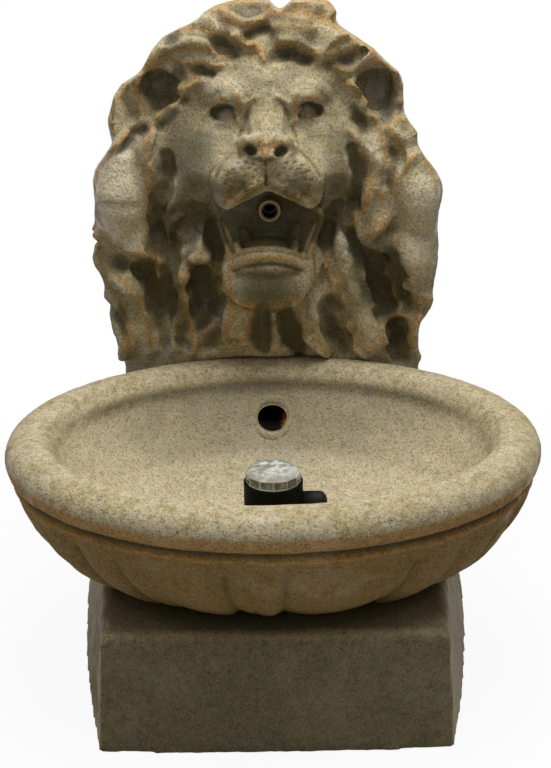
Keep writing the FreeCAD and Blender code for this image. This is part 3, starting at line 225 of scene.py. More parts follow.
class Wire:
    """A value socket that Python's operators turn into Math nodes."""

    def __init__(self, tree, socket):
        self.tree = tree
        self.socket = socket

    def maths(self, operation, *others):
        """A Math node on this value and the others."""
        return self.tree.node("ShaderNodeMath", {"operation": operation}, dict(enumerate((self,) + others)))

    def turned(self, operation, other):
        """A Math node with the plain number first, for 1 - mask and its like."""
        return self.tree.node("ShaderNodeMath", {"operation": operation}, {0: other, 1: self})

    def __add__(self, other):
        return self.maths("ADD", other)

    __radd__ = __add__

    def __mul__(self, other):
        return self.maths("MULTIPLY", other)

    __rmul__ = __mul__

    def __sub__(self, other):
        return self.maths("SUBTRACT", other)

    def __rsub__(self, other):
        return self.turned("SUBTRACT", other)

    def __truediv__(self, other):
        return self.maths("DIVIDE", other)

    def __rtruediv__(self, other):
        return self.turned("DIVIDE", other)

    def __pow__(self, other):
        return self.maths("POWER", other)

    def rise(self, low, high):
        """0 below low, 1 above high, and smooth between."""
        return self.tree.node("ShaderNodeMapRange", {"interpolation_type": "SMOOTHSTEP"},
                              {"Value": self, "From Min": low, "From Max": high})

    def top(self, other):
        """The larger of two values."""
        return self.maths("MAXIMUM", other)

    def beside(self, out):
        """Another output of the node that this value comes from."""
        return Wire(self.tree, self.socket.node.outputs[out])


class Tree:
    """A node tree and the one method that makes its nodes."""

    def __init__(self, tree, ending):
        self.tree = tree
        self.ending = ending
        tree.nodes.clear()

    def node(self, kind, options=None, inputs=None, out=0):
        """A node with its options set first, then the values or links of its sockets."""
        made = self.tree.nodes.new(kind)
        for key, value in (options or {}).items():
            setattr(made, key, value)
        for key, value in (inputs or {}).items():
            socket = made.inputs[key]
            if isinstance(value, Wire):
                self.tree.links.new(value.socket, socket)
            elif hasattr(value, "__len__") and len(value) == 3 and socket.type == "RGBA":
                socket.default_value = (*value, 1.0)
            else:
                socket.default_value = value
        return Wire(self, made.outputs[out]) if len(made.outputs) else None

    def vector(self, operation, *inputs, out=0):
        """A Vector Math node."""
        return self.node("ShaderNodeVectorMath", {"operation": operation}, dict(enumerate(inputs)), out)

    def scaled(self, vector, share):
        """A vector or a colour times a number."""
        return self.node("ShaderNodeVectorMath", {"operation": "SCALE"}, {0: vector, "Scale": share})

    def seen(self):
        """1 for what the camera sees, also in a gloss and through glass, and 0 for what lights the object."""
        camera = self.node("ShaderNodeLightPath", out="Is Camera Ray")
        return camera.top(camera.beside("Is Glossy Ray")).top(camera.beside("Is Transmission Ray"))

    def output(self, shader):
        """Links a shader to the surface."""
        self.node(self.ending, None, {"Surface": shader})


class Finish(Tree):
    """One material and the nodes that make it."""

    def __init__(self, name):
        self.material = bpy.data.materials.new(name)
        self.material.use_nodes = True
        super().__init__(self.material.node_tree, "ShaderNodeOutputMaterial")
        self.place = self.node("ShaderNodeTexCoord", out="Object")

    def noise(self, scale, detail=3.0, rough=0.55, place=None):
        """Noise about 0.5, scale lumps to a metre."""
        return self.node("ShaderNodeTexNoise", None, {"Vector": place or self.place, "Scale": scale,
                                                     "Detail": detail, "Roughness": rough})

    def grains(self, scale):
        """Grains of one size: two random values for each grain, and the distance from its middle."""
        tint = self.node("ShaderNodeTexVoronoi", None, {"Vector": self.place, "Scale": scale}, "Color")
        split = self.node("ShaderNodeSeparateColor", None, {0: tint})
        return split, split.beside(1), tint.beside("Distance")

    def blend(self, factor, first, second):
        """A Mix node on colours."""
        return self.node("ShaderNodeMix", {"data_type": "RGBA"}, {0: factor, 6: first, 7: second}, 2)

    def furrows(self, high, across, along):
        """Noise in lines that run out from a middle at a height in millimetres, seen from the front."""
        flat = self.vector("SUBTRACT", self.stretch(1.0, 0.0, 1.0), (0.0, 0.0, high * MM))
        turn = self.scaled(self.vector("NORMALIZE", flat), across)
        out = self.node("ShaderNodeCombineXYZ", None, {1: self.vector("LENGTH", flat, out=1) * along})
        return self.noise(1.0, 3.0, 0.6, self.vector("ADD", turn, out))

    def stretch(self, x, y, z):
        """Object coordinates stretched along the axes."""
        return self.vector("MULTIPLY", self.place, (x, y, z))

    def off_axis(self, high, half=(1.0, 1.0)):
        """How far a place is from an axis along Y, in millimetres or in half sizes."""
        wide, tall = (part * MM for part in half)
        middle = (0.0, 0.0, high * MM / tall)
        return self.vector("DISTANCE", self.stretch(1.0 / wide, 0.0, 1.0 / tall), middle, out=1)

    def bump(self, height, depth, strength):
        """A Bump node; depth is in metres."""
        return self.node("ShaderNodeBump", None, {"Height": height, "Distance": depth, "Strength": strength})

    def skin(self, **inputs):
        """The Principled shader on the material's surface, with names as in its sockets."""
        named = {key.replace("_", " "): value for key, value in inputs.items()}
        shader = self.node("ShaderNodeBsdfPrincipled", None, named)
        self.output(shader)
        return self.material


def cast_stone(name, wet=0.5, stained=0.15, hair=0.0, mottled=1.0, **tints):
    """Speckled cast stone: a mottled body, mixed grains, rust on ridges, soot and painted shade in hollows,
    and painted highlights.
    """
    stone = settings("stone")
    own = ("body", "pale", "rust", "soot")
    body, pale, rust, soot = (tints.get(key, getattr(stone, key)) for key in own)
    finish = Finish(name)
    # ridge carries rust and wear; hollow carries soot, painted shade and painted shadow; bare carries real
    # wear and painted highlights and glints; under carries the brown below the basin's lip
    ridge, hollow, bare, under = (finish.node("ShaderNodeAttribute", {"attribute_name": mark}, out="Fac")
                                  for mark in ("ridge", "hollow", "bare", "under"))
    broad = finish.noise(9.0, 3.0)
    patch = finish.noise(42.0, 4.0, 0.6)
    blot = finish.noise(150.0, 5.0, 0.7)
    fine = finish.noise(480.0, 3.0, 0.75)
    worn = (ridge + (blot - 0.5) * 0.9).rise(0.25, 0.80)
    # Soot and painted shade from the hollow marks, mottled
    soot_and_shade_mask = (hollow + (patch - 0.5) * 0.5 + (blot - 0.5) * 0.4).rise(0.05, 0.90)
    # Creases darkened with soot and painted shade
    crease_soot_and_shade = (0.0 - ridge + (blot - 0.5) * 0.6).rise(0.15, 0.85)
    brown = (rust[0] * 0.54, rust[1] * 0.555, rust[2] * 0.37)
    tint = finish.blend((patch * 0.4 + blot * 0.6).rise(0.40, 0.62) * mottled, body, pale)
    tint = finish.blend(blot.rise(0.56, 0.72) * 0.35, tint, brown)
    tint = finish.blend((patch * 0.6 + blot * 0.4).rise(0.50, 0.62) * stained, tint, soot)
    # Paler where worn, and painted highlights and glints
    wear_and_highlight = (bare + (blot - 0.5) * 0.8).rise(0.2, 0.8)
    tint = finish.blend(wear_and_highlight * 0.85, tint, tuple(part * 1.12 for part in pale))
    tint = finish.blend((under + (blot - 0.5) * 0.5).rise(0.1, 1.0) * 0.82, tint, brown)
    tint = finish.blend(worn * 0.78, tint, rust)
    tint = finish.blend(soot_and_shade_mask * 0.84, tint, soot)
    tint = finish.blend(crease_soot_and_shade * 0.60, tint, soot)
    level = fine * 0.90 + blot * 0.90 + broad * 0.30
    relief = fine * 0.8 + blot * 1.2
    if hair:
        furrow = finish.furrows(HAIR_HIGH, 42.0, 13.0)
        level = level + (furrow - 0.5) * 0.30
        relief = relief + furrow * hair
    tint = finish.scaled(tint, level)
    pick, other, away = finish.grains(820.0)
    soft = 1.0 - away.rise(0.40, 0.85)
    # Bright grains stay out of soot, painted shade and the brown below the lip
    unstained_unshaded = (1.0 - soot_and_shade_mask * 0.9) * (1.0 - under * 0.5)
    bright = other.rise(0.62, 0.95) * soft * unstained_unshaded
    tint = finish.blend(pick.rise(0.56, 0.98) * soft * 0.60, tint, soot)
    tint = finish.blend(bright * 0.62, tint, tuple(part * 1.1 for part in pale))
    tint = finish.blend((1.0 - other.rise(0.06, 0.30)) * soft * unstained_unshaded * 0.55, tint, rust)
    pits = finish.grains(300.0)[2].rise(0.04, 0.26)
    normal = finish.bump(relief + pits * 0.5, 0.0010, 0.9)
    damp = (broad * 0.5 + patch * 0.5 + bare * 0.12).rise(0.50, 0.62) * wet
    return finish.skin(Base_Color=tint, Roughness=0.80 - damp * 0.40, Specular_IOR_Level=0.16, Normal=normal,
                       Coat_Weight=damp * 0.55, Coat_Roughness=0.26)


def moulded(name, tint, rough=0.42, grain=0.00012, mottle=0.12, shine=0.45):
    """Moulded plastic or rubber with a fine grain and a slight change of tone."""
    finish = Finish(name)
    cloud = finish.noise(60.0, 3.0)
    fine = finish.noise(1500.0, 2.0)
    level = cloud * (2.0 * mottle) + (1.0 - mottle)
    return finish.skin(Base_Color=finish.scaled(tint, level), Roughness=rough + (cloud - 0.5) * 0.16,
                       Specular_IOR_Level=shine, Normal=finish.bump(fine, grain, 0.5))


def metal(name, tint, rough=0.3, brush=(900.0, 900.0, 60.0)):
    """Turned or drawn metal with fine lines and a slight stain."""
    finish = Finish(name)
    lines = finish.noise(1.0, 2.0, place=finish.stretch(*brush))
    cloud = finish.noise(90.0, 3.0)
    shade = finish.blend(cloud.rise(0.45, 0.75) * 0.45, tint, tuple(part * 0.55 for part in tint))
    return finish.skin(Base_Color=shade, Metallic=1.0, Roughness=rough + cloud * 0.2,
                       Normal=finish.bump(lines, 0.00004, 0.5))


# Mesh helpers

def smooth_step(value, low, high):
    """0 below low, 1 above high, and smooth between."""
    share = max(0.0, min(1.0, (value - low) / (high - low)))
    return share * share * (3.0 - 2.0 * share)


def nearness(value, middle, reach):
    """1 at the middle, falling evenly to 0 at the reach on both sides."""
    return max(0.0, 1.0 - abs(value - middle) / reach)


def show(name, mesh, material, nodes=(), body="root", smooth=True):
    """A finished piece at the origin that rides on a body and takes the given finish."""
    piece = bpy.data.objects.new(name, kept_in_box(mesh))
    bpy.context.scene.collection.objects.link(piece)
    mesh.materials.clear()
    mesh.materials.append(material)
    for face in mesh.polygons:
        face.use_smooth = smooth
    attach(piece, body)
    if nodes:
        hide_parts(*nodes)
    return piece


def baked(mesh, modifiers):
    """The mesh after the given modifiers, as (kind, {setting: value}) pairs."""
    worked = bpy.data.objects.new("work", mesh)
    bpy.context.scene.collection.objects.link(worked)
    for kind, options in modifiers:
        modifier = worked.modifiers.new(kind.lower(), kind)
        for key, value in options.items():
            setattr(modifier, key, value)
    bpy.context.view_layer.update()
    made = bpy.data.meshes.new_from_object(worked.evaluated_get(bpy.context.evaluated_depsgraph_get()))
    bpy.data.objects.remove(worked)
    bpy.data.meshes.remove(mesh)
    return made


def kept_in_box(mesh):
    """Brings points below the floor, behind the wall or above the CAD model's top back to it."""
    low, high = CAD_BOX
    for point in mesh.vertices:
        point.co.y = min(point.co.y, high[1])
        point.co.z = max(low[2], min(point.co.z, high[2]))
    return mesh


def to_mesh(bm, name="work"):
    """A mesh from a bmesh, which is freed."""
    mesh = bpy.data.meshes.new(name)
    bm.to_mesh(mesh)
    bm.free()
    return mesh


def node_shape(node):
    """A bmesh of a CAD node with its loose triangles merged."""
    bm = bmesh.new()
    bm.from_mesh(bpy.data.objects[node].data)
    bmesh.ops.remove_doubles(bm, verts=bm.verts, dist=0.00001)
    return bm


def clouds(name, size):
    """A cloud texture for the Displace modifier."""
    texture = bpy.data.textures.new(name, "CLOUDS")
    texture.noise_scale = size
    texture.noise_depth = 3
    return texture


def heights(mesh, reach):
    """How far each point stands out from a copy that is smoothed over the given number of steps."""
    smoothed = baked(mesh.copy(), [("SMOOTH", {"factor": 0.5, "iterations": reach})])
    raised = [(point.co - flat.co).dot(point.normal) for point, flat in zip(mesh.vertices, smoothed.vertices)]
    bpy.data.meshes.remove(smoothed)
    return raised


def write_marks(mesh, **values):
    """Writes the attributes that the stone's stains, painted shade and painted highlights follow."""
    for name, shares in values.items():
        marks = mesh.attributes.new(name, "FLOAT", "POINT")
        marks.data.foreach_set("value", [max(-1.0, min(1.0, share)) for share in shares])


def carve_marks(mesh, fine, broad, relief=None, lines=(), dark=None, bright=None):
    """Finds ridges and hollows by how far they stand from smoothed copies, and by the relief's own lines.

    fine and broad are each the steps of smoothing and the height that counts in full. lines are the face's
    folds, rims and grooves. dark is a rule that adds painted shade and shadow, and bright one that adds
    paleness, by place and normal.
    """
    ridges = [value / fine[1] for value in heights(mesh, fine[0])]
    # Soot and painted shade: darker where the surface sinks below a broadly smoothed copy
    hollows = [-value / broad[1] for value in heights(mesh, broad[0])]
    bare = [0.0] * len(ridges)
    if relief:
        folds, rims, sunk = lines or ({}, {}, {})
        for routes, gain in ((EDGES, 1.05), (folds, 0.50), (rims, 1.15)):
            for index, share in relief.stamped(routes, 1.15, False).items():
                crest = max(0.0, min(1.0, 0.7 + ridges[index]))
                ridges[index] = ridges[index] * 0.5 + share * gain * crest
        # Soot and painted shade in the hollows between the locks, and painted shade in the face's grooves and
        # whisker pits
        for index, share in relief.stamped(HOLLOWS, 2.3, False, ragged=0.9).items():
            hollows[index] = hollows[index] * 0.8 + share * 0.60
        for index, share in relief.stamped(sunk, 1.5, False).items():
            hollows[index] += share * 0.45
        for index, share in relief.ovals(PAINTED_SHADE_OVALS).items():
            hollows[index] += share
        # Painted highlights and glints
        for index, share in relief.ovals(PAINTED_HIGHLIGHT_OVALS).items():
            bare[index] += share
        for index, share in relief.ovals(RUSTS).items():
            ridges[index] += share
    for rule, marks in ((dark, hollows), (bright, bare)):
        for index, point in enumerate(mesh.vertices if rule else ()):
            marks[index] += rule(point.co / MM, point.normal)
    write_marks(mesh, ridge=ridges, hollow=hollows, bare=bare)


def recast(bm, cell, rough, relax=2):
    """Remeshes a closed shape evenly, relaxes it and gives it a hand-cast surface."""
    return baked(to_mesh(bm), [
        ("REMESH", {"mode": "VOXEL", "voxel_size": cell}),
        ("SMOOTH", {"factor": 0.5, "iterations": relax}),
        ("DISPLACE", {"texture": clouds("swell", 0.045), "strength": rough, "mid_level": 0.5}),
        ("DISPLACE", {"texture": clouds("lumps", 0.013), "strength": rough * 1.1, "mid_level": 0.5}),
        ("DISPLACE", {"texture": clouds("grit", 0.0045), "strength": rough * 0.7, "mid_level": 0.5})])


def strands(routes):
    """A mesh of round strands through (x, y, z, radius) points in millimetres."""
    curve = bpy.data.curves.new("strands", "CURVE")
    curve.dimensions = "3D"
    curve.bevel_depth = 1.0
    curve.bevel_resolution = 3
    curve.resolution_u = 5
    curve.use_fill_caps = True
    for route in routes:
        spline = curve.splines.new("BEZIER")
        spline.bezier_points.add(len(route) - 1)
        for point, (x, y, z, radius) in zip(spline.bezier_points, route):
            point.co = Vector((x, y, z)) * MM
            point.radius = radius * MM
            point.handle_left_type = "AUTO"
            point.handle_right_type = "AUTO"
    line = bpy.data.objects.new("strands", curve)
    bpy.context.scene.collection.objects.link(line)
    bpy.context.view_layer.update()
    made = bpy.data.meshes.new_from_object(line.evaluated_get(bpy.context.evaluated_depsgraph_get()))
    bpy.data.objects.remove(line)
    bpy.data.curves.remove(curve)
    return made


def add_strands(bm, routes):
    """Adds strands to a bmesh."""
    made = strands(routes)
    bm.from_mesh(made)
    bpy.data.meshes.remove(made)


def add_ball(bm, x, y, z, half_x, half_y, half_z, lean=0.0):
    """Adds an egg in millimetres that leans to the right by some degrees."""
    place = Matrix.Translation(Vector((x, y, z)) * MM) @ Matrix.Rotation(math.radians(lean), 4, "Y")
    size = Matrix.Diagonal((half_x * MM, half_y * MM, half_z * MM, 1.0))
    bmesh.ops.create_icosphere(bm, subdivisions=4, radius=1.0, matrix=place @ size)


def add_balls(bm, rows):
    """Adds several eggs."""
    for row in rows:
        add_ball(bm, *row)


def whole(bm, cell):
    """One even skin round everything in a bmesh."""
    return baked(to_mesh(bm), [("REMESH", {"mode": "VOXEL", "voxel_size": cell})])


def combined(mesh, tool, operation="DIFFERENCE"):
    """A mesh with another one cut from it, or only what the two share."""
    other = bpy.data.objects.new("tool", tool)
    bpy.context.scene.collection.objects.link(other)
    made = baked(mesh, [("BOOLEAN", {"operation": operation, "object": other, "solver": "MANIFOLD"})])
    bpy.data.objects.remove(other)
    bpy.data.meshes.remove(tool)
    return made


def loose(mesh):
    """A bmesh of a mesh, which is removed."""
    bm = bmesh.new()
    bm.from_mesh(mesh)
    bpy.data.meshes.remove(mesh)
    return bm


def in_front(place):
    """Where a point shows on the plane through the face, seen from the front, in millimetres."""
    share = (FRONT_PLANE + EYE_BACK) / (place.y / MM + EYE_BACK)
    return Vector((place.x / MM * share, EYE_HIGH + (place.z / MM - EYE_HIGH) * share, 0.0))


def column_front(z):
    """The front wall of the hollow behind the basin."""
    share = max(0.0, min(1.0, (z - COLUMN["low"]) / (COLUMN["mid"] - COLUMN["low"])))
    return COLUMN["low_front"] + share * (COLUMN["front"] - COLUMN["low_front"])


def in_hollow(place, spare):
    """Whether a point of the lion lies in its hollows or nearer to them than the spare wall."""
    x, y, z = place / MM
    if abs(x) < COLUMN["half"] and z < COLUMN["top"] and y > column_front(z) - spare:
        return True
    middle_x, middle_y, middle_z, half_x, half_y, half_z = HEAD_HOLLOW
    return math.hypot((x - middle_x) / (half_x + spare), (y - middle_y) / (half_y + spare),
                      (z - middle_z) / (half_z + spare)) < 1.0


class Relief:
    """The outside of the lion, whose points are found by where they show from the front."""

    def __init__(self, mesh, steps=10):
        smoothed = baked(mesh.copy(), [("SMOOTH", {"factor": 0.5, "iterations": steps})])
        self.normals = [point.normal.copy() for point in smoothed.vertices]
        bpy.data.meshes.remove(smoothed)
        found = [point.index for point in mesh.vertices
                 if point.co.y < CARVED_BACK * MM and self.normals[point.index].y < 0.45
                 and not in_hollow(point.co, THIN_WALL)]
        self.tree = KDTree(len(found))
        for index in found:
            self.tree.insert(in_front(mesh.vertices[index].co), index)
        self.tree.balance()
        self.mesh = mesh

    def stamped(self, routes, reach, sized=True, power=1.3, ragged=0.0):
        """How strongly routes mark each point: the nearest route's radius, or 1, fading to 0 at its reach.

        A ragged route's edge wanders by that share of its radius.
        """
        marked = {}
        for route in routes.values():
            for first, last in zip(route, route[1:]):
                gap = math.hypot(last[0] - first[0], last[1] - first[1])
                steps = max(1, math.ceil(gap / (0.4 * min(first[2], last[2]))))
                for step in range(steps + 1):
                    x, z, radius = (a + (b - a) * step / steps for a, b in zip(first, last))
                    for place, index, away in self.tree.find_range((x, z, 0.0), radius * reach):
                        if ragged:
                            away = max(0.0, away + ragged * radius * noise.noise(place * 0.11))
                        full = radius if sized else 1.0
                        share = full * max(0.0, 1.0 - (away / (radius * reach)) ** 2) ** power
                        if share > marked.get(index, 0.0):
                            marked[index] = share
        return marked

    def ovals(self, rows):
        """How far the leaning ovals raise each point, in millimetres."""
        raised = {}
        for x, z, half_x, half_z, lean, height in rows.values():
            turn = math.radians(lean)
            for place, index, _ in self.tree.find_range((x, z, 0.0), max(half_x, half_z)):
                across = (place.x - x) * math.cos(turn) - (place.y - z) * math.sin(turn)
                up = (place.x - x) * math.sin(turn) + (place.y - z) * math.cos(turn)
                share = 1.0 - (across / half_x) ** 2 - (up / half_z) ** 2
                if share > 0.0:
                    raised[index] = raised.get(index, 0.0) + height * share ** 0.9
        return raised

    def push(self, *moves):
        """Moves the points along their normals by the sum of (gain, marks) pairs, in millimetres."""
        totals = {}
        for gain, marks in moves:
            for index, value in marks.items():
                totals[index] = totals.get(index, 0.0) + gain * value
        for index, total in totals.items():
            moved = self.mesh.vertices[index].co + self.normals[index] * total * MM
            if not in_hollow(moved, WALL):
                self.mesh.vertices[index].co = moved
        self.mesh.update()


def carve(mesh, locks=0.80, edges=2.7, hollows=1.8):
    """Raises the locks and their edges and sinks the hollows between them, by a gain times their radii."""
    relief = Relief(mesh)
    relief.push((locks, relief.stamped(LOCKS, 1.5)), (edges, relief.stamped(EDGES, 1.35)),
                (-hollows, relief.stamped(HOLLOWS, 2.3, power=1.7, ragged=0.9)), (1.0, relief.ovals(MASSES)))
    return mesh


# The lion in the picture: places given in pixels right (u) and down (v) from its top left corner

def sight(u, v, depth):
    """Where a place in the picture lies on the plane at a depth: x and z, to a tenth of a millimetre."""
    across, down = (u - PICTURE_MIDDLE[0]) / FOCAL, (v - PICTURE_MIDDLE[1]) / FOCAL
    side = across * math.cos(ROLL) - down * math.sin(ROLL)
    fall = across * math.sin(ROLL) + down * math.cos(ROLL)
    reach = (EYE_BACK + depth) / (math.cos(TILT) - fall * math.sin(TILT))
    return round(side * reach, 1), round(EYE_HIGH - (math.sin(TILT) + fall * math.cos(TILT)) * reach, 1)


def seen_at(depth, places):
    """Several places in the picture on the plane at a depth."""
    return [sight(u, v, depth) for u, v in places]


def traced(table):
    """Routes of (u, v, radius) as (x, z, radius) on the plane through the face."""
    return {name: [(*sight(u, v, FRONT_PLANE), radius) for u, v, radius in route]
            for name, route in table.items()}


def placed(table):
    """Rows that begin with u and v as rows that begin with x and z, on the plane through the face."""
    return {name: (*sight(u, v, FRONT_PLANE), *rest) for name, (u, v, *rest) in table.items()}


def at_depth(u, v, depth, *rest):
    """A row that begins with u, v and a depth as one that begins with x, y and z."""
    x, z = sight(u, v, depth)
    return x, depth, z, *rest


def deep(table):
    """Routes of (u, v, depth, radius) as (x, y, z, radius)."""
    return {name: [at_depth(*row) for row in route] for name, route in table.items()}


def deep_eggs(table):
    """Eggs whose rows begin with u, v and depth as eggs whose rows begin with x, y and z."""
    return {name: at_depth(*row) for name, row in table.items()}


# The mane's locks: u, v and radius
LOCKS = traced({
    "crown_left_face": [(207, 12, 4), (214, 22, 6), (222, 31, 6.5), (232, 34, 5), (244, 33, 4)],
    "crown_left_hollow": [(232, 10, 5), (246, 13, 6), (258, 14, 5)],
    "crown_right_body": [(272, 26, 8), (288, 26, 10), (304, 27, 11), (320, 30, 9), (333, 36, 7)],
    "crown_link": [(258, 36, 5), (270, 38, 6), (282, 36, 6)],
    "left_top_two": [(150, 60, 4), (156, 49, 5), (165, 40, 5.4), (177, 35, 5.4), (190, 37, 5), (202, 41, 4.2),
        (214, 43, 3.2)],
    "ball_left": [(139, 80, 4.5), (129, 86, 8), (123, 97, 10.5), (120, 108, 11), (118, 119, 9),
        (116, 131, 5.5), (118, 138, 3)],
    "big_left": [(133, 139, 6), (126, 152, 10), (119, 168, 14), (116, 185, 16.5), (117, 202, 17),
        (122, 218, 16), (129, 233, 13), (138, 247, 9), (148, 258, 5)],
    "big_left_side": [(103, 176, 7), (101, 192, 9), (102, 208, 10), (106, 222, 9)],
    "face_left_wing": [(165, 118, 5), (160, 130, 6), (157, 143, 6.5), (158, 156, 6)],
    "knob_left": [(95, 238, 4), (89, 249, 6), (92, 259, 5.5), (98, 268, 4.5), (104, 276, 4)],
    "knob_left_low": [(107, 286, 4.5), (105, 299, 6), (107, 310, 6), (111, 320, 5), (114, 332, 4.5),
        (119, 347, 5)],
    "flank_lobe": [(137, 332, 5), (143, 338, 8), (147, 348, 8)],
    "inner_left_pad": [(176, 248, 4), (186, 250, 6), (196, 250, 7), (205, 254, 6)],
    "beard_left_panel": [(238, 300, 4), (240, 314, 6), (239, 326, 6.5), (235, 337, 5)],
    "beard_mid": [(268, 305, 5), (270, 318, 6), (272, 331, 6), (274, 344, 5)],
    "beard_right_panel": [(307, 296, 4), (311, 307, 6), (313, 318, 6), (317, 328, 5)],
    "cheek_low_right": [(335, 232, 4), (341, 241, 6.5), (344, 251, 7.5), (345, 262, 6), (346, 272, 4)],
    "leg_right_panel": [(350, 282, 4), (353, 297, 6), (357, 312, 7), (364, 327, 7.5), (372, 342, 7)],
    "hem_right": [(422, 318, 4), (419, 330, 5), (417, 343, 5.5), (420, 356, 5)],
    "right_mass": [(407, 158, 9), (415, 174, 14), (419, 192, 17), (420, 211, 18), (419, 230, 18),
        (417, 249, 17), (418, 267, 15), (421, 284, 11), (425, 299, 8)],
    "right_mass_outer": [(424, 160, 5), (433, 172, 6.5), (438, 187, 7), (438, 205, 7), (436, 223, 7),
        (435, 241, 7), (434, 259, 6.5), (432, 276, 6), (431, 292, 5.5), (429, 306, 5)],
    "face_right_white": [(357, 128, 3), (364, 138, 5.5), (370, 148, 7), (374, 158, 7), (373, 168, 5.5)],
    "ball_right": [(399, 121, 4), (404, 127, 8), (408, 134, 8.5), (411, 142, 6), (415, 148, 3.6)],
})

